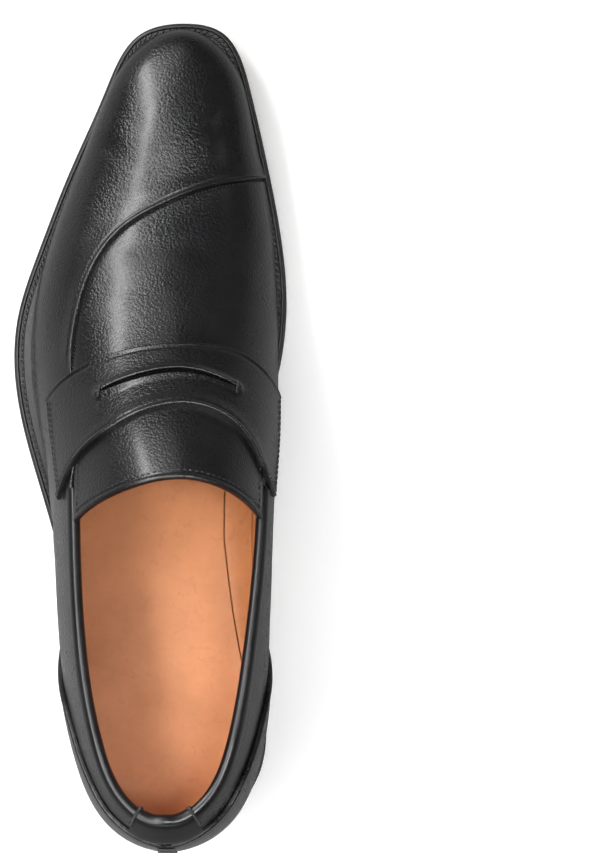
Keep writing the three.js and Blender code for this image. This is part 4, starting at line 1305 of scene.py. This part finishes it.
class LOAFER_OT_tongue(bpy.types.Operator):
    """Make the tongue that shows behind the strap, with its lining"""
    bl_idname = "loafer.tongue"
    bl_label = "Tongue"

    def execute(self, context):
        p = context.scene.loafer_upper
        back, front = tongue_lines()
        patch = between(back, front, pitch(28.0, 0.9))
        backing = between(back[3:-3], front[3:-3], 0.05 + 0.95 * pitch(28.0, 1.2))
        edge = on_surface(back, UPPER[1])

        def lift(points):
            d = near(points, edge, 9.0)
            return swell(d, 0.28, 0.9, 0.7) - swell(d, 0.22, 2.1, 0.4) + 0.5 * p.crease * creases(points)

        top = leather("tongue_leather", [patch], TONGUE_TOP, finish("leather"), p.rim, lift)
        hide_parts("tongue")
        bend(top)
        lining = leather("tongue_backing", [backing], TONGUE_BACKING, finish("lining"), 0.3)
        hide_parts("tongue_lining")
        bend(lining)
        return {"FINISHED"}


class LOAFER_OT_heel_trim(bpy.types.Operator):
    """Make the counter foxing, the heel tab and the back strip"""
    bl_idname = "loafer.heel_trim"
    bl_label = "Heel Trim"

    def execute(self, context):
        p = context.scene.loafer_upper
        ys = np.unique(np.concatenate([heel_stations(79.5, 1.2), np.arange(6.0, 14.0, 0.18)]))
        edge = on_surface(FOXING_CURVE, OVERLAY[1])

        def lift(points):
            d = near(points, edge, 9.0)
            return swell(d, 0.3, 1.0, 0.9) - swell(d, 0.1, 3.2, 1.2) + 0.5 * p.crease * creases(points)

        obj = leather("counter_foxing_leather", heel_halves(FOXING_CURVE, ys, 1.0), OVERLAY,
                      finish("leather"), p.rim, lift)
        settle(obj, ["counter_foxing"])
        xs = (pitch(2 * BACK_STRIP_HALF, 0.8, False) * 2 - 1) * BACK_STRIP_HALF
        zs = BACK_STRIP_FROM + BACK_STRIP_HIGH * pitch(BACK_STRIP_HIGH, 0.8)
        grid = at_xz(xs[None] + 0 * zs[:, None], zs[:, None] + 0 * xs[None], BACK_STRIP[1])
        obj = leather("back_strip_leather", [grid], BACK_STRIP, finish("trim"), 0.4)
        settle(obj, ["back_strip"])
        settle(rolled("heel_tab_leather", tab_line(), TAB_OVER, TAB_UNDER), ["heel_tab"])
        return {"FINISHED"}


def edge_frame(line):
    """Foot, outward and upward directions along the top edge."""
    y, t = line.T
    n = last_normal(y, t)
    along = np.gradient(off_last(y, t, 2.0), axis=0)
    along /= np.linalg.norm(along, axis=1, keepdims=True)
    up = np.cross(n, along)
    return last_point(y, t), n, up * np.sign(up[:, 2:3])


def rolled(name, line, outer, inner):
    """A band of leather rolled over the top edge; outer and inner are its two faces in section."""
    profile = outer + inner[::-1]
    base, n, up = edge_frame(line)
    P = np.stack([base + a * n + b * up for a, b in profile], 1)
    m, k = P.shape[:2]
    faces = tube_faces(m, k)
    for start in (0, (m - 1) * k):
        for j in range(len(outer) - 1):
            faces.append([start + j, start + j + 1, start + k - 2 - j, start + k - 1 - j])
    obj = new_object(name, P.reshape(-1, 3), faces, finish("trim"), 60.0)
    recalc(obj)
    return obj


# Sections over the top edge, outer face and inner face: distance off the last, height over the edge.
TAB_OVER = [(4.3, -10.6), (4.72, -10.4), (4.85, -9.6), (4.86, -7.0), (4.84, -4.0), (4.78, -1.0),
            (4.62, 0.7), (4.0, 1.9), (2.85, 2.6), (1.5, 2.7), (0.35, 2.15), (-0.38, 0.95), (-0.62, -0.4),
            (-0.62, -2.2), (-0.4, -2.4)]
TAB_UNDER = [(4.1, -10.4), (4.05, -10.2), (4.0, -9.6), (4.0, -7.0), (4.2, -4.0), (4.25, -1.0),
             (4.12, 0.65), (3.6, 1.7), (2.65, 2.24), (1.5, 2.3), (0.55, 1.8), (-0.08, 0.85), (-0.3, -0.4),
             (-0.32, -2.0), (-0.32, -2.2)]
BINDING_OVER = [(3.75, -2.6), (4.0, -2.45), (4.12, -1.9), (4.14, -0.4), (4.02, 0.7), (3.5, 1.6),
                (2.6, 2.15), (1.5, 2.2), (0.6, 1.7), (0.0, 0.8), (-0.22, -0.4), (-0.24, -2.0),
                (-0.2, -3.2), (-0.05, -3.3)]
BINDING_UNDER = [(3.75, -2.4), (3.75, -2.0), (3.75, -1.5), (3.75, -0.4), (3.75, 0.1), (3.3, 0.12),
                 (2.7, 0.12), (1.5, 0.12), (0.6, 0.12), (-0.03, 0.1), (-0.03, -0.4), (-0.03, -2.0),
                 (-0.03, -3.0), (-0.03, -3.2)]
TAB_HALF = 10.6
TAB_TACK = 8.6


def tab_line():
    """The stretch of the top edge that the heel tab rolls over."""
    x = off_last(TOPLINE_CURVE[:, 0], TOPLINE_CURVE[:, 1], UPPER[1])[:, 0]
    line = TOPLINE_CURVE[np.abs(x) < TAB_HALF]
    k = np.linspace(0, len(line) - 1, 60)
    return np.stack([np.interp(k, np.arange(len(line)), line[:, c]) for c in (0, 1)], -1)


class LOAFER_OT_binding(bpy.types.Operator):
    """Roll the binding over the top edge of both quarters"""
    bl_idname = "loafer.binding"
    bl_label = "Topline Binding"

    def execute(self, context):
        for side, inner in (("outer", False), ("inner", True)):
            line = TOPLINE_CURVE[(TOPLINE_CURVE[:, 1] > 0.5) if inner else (TOPLINE_CURVE[:, 1] < 0.5)]
            line = line[np.linspace(0, len(line) - 1, 260).round().astype(int)]
            obj = rolled("binding_" + side, line, BINDING_OVER, BINDING_UNDER)
            settle(obj, ["topline_binding_" + side])
        return {"FINISHED"}


# Inner edge of the sock at the waist: y, x. Past both ends it runs along the wall.
SOCK_INNER_EDGE = np.array([
    (50, 99.0), (57, 27.6), (69, 25.1), (82, 22.8), (95, 20.9), (110, 19.2), (127, 19.3), (140, 21.5),
    (150, 25.0), (158, 99.0)])
SOCK_TOP = 3.8
SOCK_BOTTOM = 2.8
# The strip of lining between the sock and the inner wall: its stations, foot, rise and thickness.
COVE_FROM = 57
COVE_TO = 150
COVE_FOOT = 3.9
COVE_RISE = 5.6
COVE_THICK = 0.9


class SockSides:
    """Sides of the sock: its inner edge stops short of the wall at the waist."""

    def __init__(self):
        self.foot = Sides(last_outline, lambda o: 0.75 * o[:, 2] + 0.45)

    def look(self, y, inner):
        rows = self.foot.look(y, inner)
        if inner:
            rows[:, 0] = np.minimum(rows[:, 0], np.interp(y, *SOCK_INNER_EDGE.T))
        return rows


class CoveSides(SockSides):
    """Sides of the strip of lining that curves down to the sock at the waist."""

    def look(self, y, inner):
        if not inner:
            rows = super().look(y, True)
            rows[:, 0] += 0.35
            return rows
        rows = last.look(y, True)
        rows[:, 0] -= 0.42 * rows[:, 3] - 0.45
        return rows


# Front edges of the vamp lining under the strap: station, turn.
LINING_INNER = np.array([(136, 0.78), (142, 0.765), (152, 0.685), (158.5, 0.56), (160.8, 0.5), (161.6, 0.5)])
LINING_OUTER = np.array([(136, 0.21), (142, 0.24), (152, 0.32), (158.5, 0.43), (160.8, 0.5), (161.6, 0.5)])


def sock_top(x, y, edge):
    """Top face of the sock: raised at its edge, and slightly uneven."""
    return welt_top(y) + SOCK_TOP + 0.9 * np.exp(-edge / 2.2) + 0.05 * np.sin(x * 0.2) * np.sin(y * 0.09)


def sock_bottom(x, y, edge):
    """Underside of the sock, which follows its raised edge."""
    return welt_top(y) + SOCK_BOTTOM + 0.6 * np.exp(-edge / 2.2)


class LOAFER_OT_linings(bpy.types.Operator):
    """Make the quarter and vamp linings and the full sock"""
    bl_idname = "loafer.linings"
    bl_label = "Linings and Sock"

    def execute(self, context):
        ys = heel_stations(136.0, 1.5)
        obj = leather("quarter_lining_leather", heel_halves(TOPLINE_CURVE, ys, 1.4), LINING,
                      finish("lining"), 0.2)
        settle(obj, ["quarter_lining"])
        ys = np.unique(np.concatenate([
            np.arange(136.4, 160, 1.2), np.arange(160.5, 162.5, 0.3), np.arange(163, 282, 2.0),
            toe_stations(np.linspace(0, 0.9, 20))]))
        low = np.interp(ys, *LINING_INNER.T)
        high = np.interp(ys, *LINING_OUTER.T)
        v = pitch(60.0, 2.0)
        left, right = wall(ys, high, v, False), wall(ys, low, v, True)
        obj = leather("vamp_lining_leather", [left, right], LINING, finish("lining"), 0.2)
        settle(obj, ["vamp_lining"])
        foot = SockSides()
        ys = round_stations(foot.foot.y0, foot.foot.y1, 150)
        obj = plate("sock_leather", foot, ys, sock_top, sock_bottom, finish("lining"), 0.3)
        settle(obj, ["sock_liner"])
        ys = np.unique(np.concatenate([
            np.linspace(COVE_FROM, COVE_TO, 80), [COVE_FROM + 0.3, COVE_TO - 0.3]]))
        cove = CoveSides()
        left, right = (cove.look(ys, k)[:, 0] for k in (False, True))

        def cove_top(x, y, edge):
            share = (x - np.interp(y, ys, left)) / (np.interp(y, ys, right) - np.interp(y, ys, left))
            return welt_top(y) + COVE_FOOT + COVE_RISE * np.clip(share, 0, 1) ** 1.7

        def cove_bottom(x, y, edge):
            return cove_top(x, y, edge) - COVE_THICK

        obj = plate("inner_wall_cove", cove, ys, cove_top, cove_bottom, finish("lining"), 0.3, 6.0)
        settle(obj, [])
        return {"FINISHED"}


# Sections of the welt and the heel rand: distance in from the sole edge, height off the welt's top
# face, share of the way to the inner hole. The welt has a groove for its stitches.
EDGE_SECTION = [(0.85, -0.12, 0), (0.68, -0.32, 0), (0.6, -0.6, 0), (0.6, -1.7, 0), (0.6, -2.9, 0),
                (0.78, -3.2, 0)]
WELT_SECTION = [(4.0, -0.3, 1), (4.0, -0.3, 0.4), (4.0, -0.25, 0), (3.75, -0.5, 0), (3.5, -0.75, 0),
                (2.2, -0.75, 0), (1.95, -0.5, 0), (1.8, -0.1, 0), (1.65, 0.12, 0), (1.35, 0.14, 0),
                (1.1, 0.02, 0), *EDGE_SECTION, (4.0, -3.2, 0), (4.0, -3.2, 1)]
RAND_SECTION = [(3.5, 0, 1), (3.4, 0.05, 0), (1.6, 0.05, 0), (1.1, 0, 0), *EDGE_SECTION, (3.4, -3.2, 0),
                (3.5, -3.2, 1)]
WELT_FROM = 84.15
RAND_TO = 83.85
WELT_STITCH_INSET = 2.75
WELT_STITCH_FROM = 93
WELT_STITCH_RISE = -0.34


class LOAFER_OT_welt(bpy.types.Operator):
    """Make the welt with its stitch groove, the heel rand and the welt stitching"""
    bl_idname = "loafer.welt"
    bl_label = "Welt and Rand"

    def execute(self, context):
        p = context.scene.loafer_thread
        obj = ring("welt_strip", WELT_FROM, True, WELT_SECTION, finish("edge"))
        settle(obj, ["welt"])
        obj = ring("heel_rand_strip", RAND_TO, False, RAND_SECTION, finish("edge"))
        settle(obj, ["heel_rand"])
        s = np.linspace(0, 1, 3000)
        line = sole_outline(s) - sideways(sole_outline, s) * WELT_STITCH_INSET
        line = line[line[:, 1] > WELT_STITCH_FROM]
        points = np.column_stack([line, welt_top(line[:, 1]) + WELT_STITCH_RISE])
        up = np.tile([0.0, 0.0, 1.0], (len(points), 1))
        obj = stitch_row("welt_stitching", [(points, up)], finish("thread"), p.welt_pitch,
                         p.welt_pitch * 1.15, p.welt_width, 1.0, p.welt_slant)
        settle(obj, ["welt_stitch"])
        return {"FINISHED"}


def sole_bottom(x, y, edge):
    """Underside of the outsole: cross grooves for grip, and the closed channel of its stitches."""
    k = (y - GRIP_FROM) / GRIP_PITCH
    nearest = np.clip(np.round(k), 0, GRIP_RIBS - 1)
    groove = smooth((0.45 - np.abs(k - nearest) * GRIP_PITCH) / 0.2)
    across = smooth((x + 43) / 1.0) * smooth((25 - x) / 1.0) * smooth((edge - 3) / 1.0)
    channel = swell(edge, 0.25, 4.2, 0.5) * smooth((y - 95) / 4)
    return welt_top(y) + SOLE_BOTTOM + 0.7 * groove * across + channel


class LOAFER_OT_outsole(bpy.types.Operator):
    """Make the leather outsole with grip grooves under the ball"""
    bl_idname = "loafer.outsole"
    bl_label = "Outsole"

    def execute(self, context):
        sides = Sides(sole_outline, lambda o: np.zeros(len(o)))
        ys = round_stations(sides.y0, sides.y1, 190, np.arange(136, 154, 0.2))
        obj = plate("outsole_leather", sides, ys, lambda x, y, e: welt_top(y) + SOLE_TOP, sole_bottom,
                    finish("edge"), 0.55, 1.0)
        obj.data.materials.append(finish("sole"))
        for f in obj.data.polygons:
            if f.normal.z < -0.55:
                f.material_index = 1
        settle(obj, ["outsole"])
        return {"FINISHED"}


class LOAFER_OT_heel(bpy.types.Operator):
    """Make the stacked heel: four leather lifts and the rubber top piece"""
    bl_idname = "loafer.heel"
    bl_label = "Heel"

    def execute(self, context):
        sides = Sides(sole_outline, lambda o: HEEL_SETBACK + np.zeros(len(o)))
        ys = heel_plate_stations(sides.y0, HEEL_FRONT, 90)

        def level(z):
            return lambda x, y, edge: z + 0 * x

        obj = plate("top_piece_rubber", sides, ys, level(TOP_PIECE), level(0.0), finish("rubber"), 0.3, 2.0,
                    False)
        settle(obj, ["heel_top_piece"])
        front = place((0, HEEL_FRONT - 0.3, 0))[1]
        for i in range(LIFTS):
            z = TOP_PIECE + GAP + (LIFT + GAP) * i
            top = level(z + LIFT)
            if i == LIFTS - 1:
                top = lambda x, y, edge: welt_top(y) + SOLE_BOTTOM - GAP
            obj = plate(f"lift_{i + 1}", sides, ys, top, level(z), finish("edge"), 0.3, 2.0, False)
            obj.data.materials.append(finish("stack"))
            for f in obj.data.polygons:
                if f.normal.y > 0.6 and f.center.y > front:
                    f.material_index = 1
            settle(obj, [f"heel_lift_{i + 1}"])
        return {"FINISHED"}


# Bar tacks: the CAD node, and x and y at the ends of the slit or x along the heel tab.
SLOT_TACKS = {"slot_tack_outer": ("slot_tack_1", -23.6, 163.2),
              "slot_tack_inner": ("slot_tack_2", 24.6, 164.6)}
TAB_TACKS = {"tab_tack_outer": ("tab_tack_1", -TAB_TACK), "tab_tack_inner": ("tab_tack_2", TAB_TACK)}
TACK_STITCH = (0.42, 1.5, 0.5, 0.7, math.pi / 2)
TOE_STITCH = (1.35, 1.1, 0.36, 0.34, 0.9)


def strap_lines():
    """Two rows across each end of the strap, and one along the start of its rear edge."""
    back, slot, front = strap_curves()
    lines = []
    for end, sign, part, share in ((0, 1, back[:34], (0.06, 1.0)), (-1, -1, back[-34:], (0.0, 0.94))):
        side = seam([("at", *front[end]), ("at", *slot[end]), ("at", *back[end])], OVERLAY[1], 160)
        for d in (1.9, 3.9):
            row = shifted(side, sign * d, OVERLAY[1])
            lines.append(row_on(row, STRAP_THREAD, 0.045 + 0.01 * d, 0.955 - 0.01 * d))
        lines.append(row_on(shifted(part, 1.9, OVERLAY[1]), STRAP_THREAD, *share))
    return lines


def tongue_stitch_lines():
    """A row along the tongue's rear edge, and one forward from each of its ends."""
    back, front = tongue_lines()
    row = shifted(back, 3.0)
    lines = [row_on(row, TONGUE_THREAD, 0.035, 0.965)]
    for end, step in ((0, 6), (-1, -7)):
        side = between(row[[end + step]], front[[end + step]], np.linspace(0.0, 0.8, 40))[0]
        lines.append(row_on(side, TONGUE_THREAD))
    return lines


def slot_tack_line(x, y):
    """A short line across the end of the slit."""
    middle = find([y], [x], 0, 0.05, 0.95, OVERLAY[1])[0]
    line = seam([("top", x - 0.2, y - 1.9), ("at", *middle), ("top", x + 0.2, y + 1.9)], OVERLAY[1], 20)
    return row_on(line, TACK_THREAD)


def tab_tack_line(x):
    """A line over the top edge through the heel tab, just outside it."""
    base, n, up = edge_frame(tab_line())
    k = int(np.argmin(np.abs(base[:, 0] - x)))
    over = TAB_OVER[4:13]
    points = np.array([base[k] + (a + (0.25 if a > 2 else -0.1)) * n[k] + (b + 0.15) * up[k]
                       for a, b in over])
    ups = np.array([n[k] * math.cos(w) + up[k] * math.sin(w) for w in np.linspace(0, 2.7, len(over))])
    return points, ups


class LOAFER_OT_stitching(bpy.types.Operator):
    """Sew the strap's ends, the toe seam, the tongue and the bar tacks"""
    bl_idname = "loafer.stitching"
    bl_label = "Stitching"

    def execute(self, context):
        p = context.scene.loafer_thread
        thread = finish("thread")
        size = (p.pitch, p.pitch * 0.8, p.width, 0.45)
        settle(stitch_row("strap_stitching", strap_lines(), thread, *size), [])
        pucker = shifted(SEAM_CURVE, -0.95)
        pucker = pucker[off_last(pucker[:, 0], pucker[:, 1], UPPER[1])[:, 1] > 166]
        obj = stitch_row("toe_seam_stitching", [row_on(pucker, SEAM_THREAD)], thread, *TOE_STITCH)
        settle(obj, [])
        bend(stitch_row("tongue_stitching", tongue_stitch_lines(), thread, *size))
        for name, (cad, x, y) in SLOT_TACKS.items():
            settle(stitch_row(name, [slot_tack_line(x, y)], thread, *TACK_STITCH), [cad])
        for name, (cad, x) in TAB_TACKS.items():
            settle(stitch_row(name, [tab_tack_line(x)], thread, *TACK_STITCH), [cad])
        return {"FINISHED"}


# The finish of each slot of the frame's own pieces.
SLOT_FINISHES = {"black_leather": "leather", "black_edge": "edge", "tan_leather": "lining",
                 "sole_leather": "stack", "board_leather": "board", "cork": "cork", "rubber": "rubber",
                 "thread": "thread", "steel": "steel", "brass": "brass"}


class LOAFER_OT_inner_parts(bpy.types.Operator):
    """Give the stiffeners, insole, cork, shank and nails their finishes"""
    bl_idname = "loafer.inner_parts"
    bl_label = "Inner Parts"

    def execute(self, context):
        for obj in NODES.values():
            for slot in obj.material_slots:
                slot.material = finish(SLOT_FINISHES[slot.material.name.split(".")[0]])
        return {"FINISHED"}


# Name, shape, place, aim, size, share of the light's power and spread in degrees.
LIGHTS = (
    ("strip_light", "RECTANGLE", (-0.66, 0.0, 1.25), (0.0, 0.0, 0.05), (1.8, 0.2), 1.3, 180),
    ("streak_light", "RECTANGLE", (-0.8, 1.0, 0.83), (0.0, 0.0, 0.07), (0.2, 0.95), 0.85, 180),
    ("mouth_light", "RECTANGLE", (0.24, -0.08, 1.2), (-0.01, -0.07, 0.03), (0.25, 0.4), 0.016, 24),
    ("overhead_softbox", "ELLIPSE", (-0.28, 0.0, 1.7), (-0.02, 0.001, 0.03), (1.3, 1.3), 1.05, 180),
    ("right_softbox", "RECTANGLE", (1.1, 0.0, 0.9), (0.0, 0.0, 0.03), (1.2, 0.25), 0.05, 180),
    ("toe_softbox", "ELLIPSE", (-0.4, 1.35, 0.95), (0.0, 0.05, 0.03), (1.0, 0.9), 0.2, 180),
    ("heel_softbox", "RECTANGLE", (0.0, -1.35, 0.9), (0.0, -0.05, 0.05), (1.2, 0.35), 0.3, 180))
FLOOR_HALF = 3.0
FLOOR_TONE = 0.9
FLOOR_TONE_IN_GLOSS = 0.26
# The point of the shoemaker's frame that the camera stands over.
CAMERA_OVER = (47.2, 151.2, 0)


def lay_floor(scene, glow):
    """A pale floor that glows a little to the eye, and is dim and plain in reflections."""
    h = FLOOR_HALF
    mesh = bpy.data.meshes.new("floor")
    mesh.from_pydata([(-h, -h, 0), (h, -h, 0), (h, h, 0), (-h, h, 0)], [], [(0, 1, 2, 3)])
    floor = bpy.data.objects.new("floor", mesh)
    scene.collection.objects.link(floor)
    pale = bpy.data.materials.new("Pale Floor")
    pale.use_nodes = True
    tree = pale.node_tree
    bsdf = tree.nodes["Principled BSDF"]
    seen = node(tree, "ShaderNodeLightPath", (-700, 0))
    for socket, y, to_eye, to_gloss in (("Base Color", 0, FLOOR_TONE, FLOOR_TONE_IN_GLOSS),
                                        ("Emission Strength", -250, glow, 0.0)):
        value = node(tree, "ShaderNodeMapRange", (-500, y), {
            "Value": seen.outputs["Is Glossy Ray"], "To Min": to_eye, "To Max": to_gloss})
        join(tree, value.outputs[0], bsdf.inputs[socket])
    bsdf.inputs["Roughness"].default_value = 0.9
    bsdf.inputs["Emission Color"].default_value = (1.0, 0.99, 0.985, 1)
    mesh.materials.append(pale)


def hang_lights(scene, power):
    """The soft lights, each aimed at a point of the shoe."""
    for name, shape, at, aim, size, share, spread in LIGHTS:
        light = bpy.data.lights.new(name, "AREA")
        light.shape = shape
        light.size, light.size_y = size
        light.energy = power * share
        light.spread = math.radians(spread)
        lamp = bpy.data.objects.new(name, light)
        lamp.location = at
        lamp.rotation_euler = (Vector(aim) - Vector(at)).to_track_quat("-Z", "Y").to_euler()
        scene.collection.objects.link(lamp)


class LOAFER_OT_stage(bpy.types.Operator):
    """Lay the pale floor, hang the soft lights and set the camera"""
    bl_idname = "loafer.stage"
    bl_label = "Stage"

    def execute(self, context):
        p = context.scene.loafer_stage
        scene = context.scene
        lay_floor(scene, p.floor_glow)
        hang_lights(scene, p.key_power)
        world = bpy.data.worlds.new("Surroundings")
        world.use_nodes = True
        background = world.node_tree.nodes["Background"]
        background.inputs["Color"].default_value = (1, 1, 1, 1)
        background.inputs["Strength"].default_value = p.world
        scene.world = world
        scene.view_settings.view_transform = "Standard"
        camera = bpy.data.cameras.new("camera")
        camera.lens = p.lens
        camera.sensor_width = 36.0
        camera.sensor_fit = "AUTO"
        eye = bpy.data.objects.new("camera", camera)
        x, y, _ = place(CAMERA_OVER)
        eye.location = (x, y, p.camera_height)
        scene.collection.objects.link(eye)
        scene.camera = eye
        return {"FINISHED"}


class LOAFER_PT_panel(bpy.types.Panel):
    """Sizes, colours and steps of the loafer"""
    bl_label = "Penny Loafer"
    bl_idname = "LOAFER_PT_panel"
    bl_space_type = "VIEW_3D"
    bl_region_type = "UI"
    bl_category = "Loafer"

    def draw(self, context):
        for title, settings in SETTINGS.items():
            box = self.layout.box()
            box.label(text=title)
            group_of = getattr(context.scene, settings[0])
            for key in settings[1].__annotations__:
                box.prop(group_of, key)
        for step in STEPS:
            self.layout.operator(step.bl_idname)


SETTINGS = {
    "Upper": ("loafer_upper", LoaferUpper),
    "Thread": ("loafer_thread", LoaferThread),
    "Finish": ("loafer_finish", LoaferFinish),
    "Stage": ("loafer_stage", LoaferStage),
}
STEPS = (LOAFER_OT_inner_parts, LOAFER_OT_outer_upper, LOAFER_OT_inner_upper, LOAFER_OT_strap,
         LOAFER_OT_tongue, LOAFER_OT_heel_trim, LOAFER_OT_binding, LOAFER_OT_linings,
         LOAFER_OT_welt, LOAFER_OT_outsole, LOAFER_OT_heel, LOAFER_OT_stitching, LOAFER_OT_stage)


def register():
    for _, settings in SETTINGS.values():
        bpy.utils.register_class(settings)
    for step in STEPS + (LOAFER_PT_panel,):
        bpy.utils.register_class(step)
    for name, settings in SETTINGS.values():
        setattr(bpy.types.Scene, name, PointerProperty(type=settings))


def unregister():
    for name, _ in SETTINGS.values():
        delattr(bpy.types.Scene, name)
    for step in STEPS + (LOAFER_PT_panel,):
        bpy.utils.unregister_class(step)
    for _, settings in SETTINGS.values():
        bpy.utils.unregister_class(settings)


def main():
    register()
    for step in STEPS:
        space, name = step.bl_idname.split(".")
        getattr(getattr(bpy.ops, space), name)()


if __name__ == "__main__":
    main()
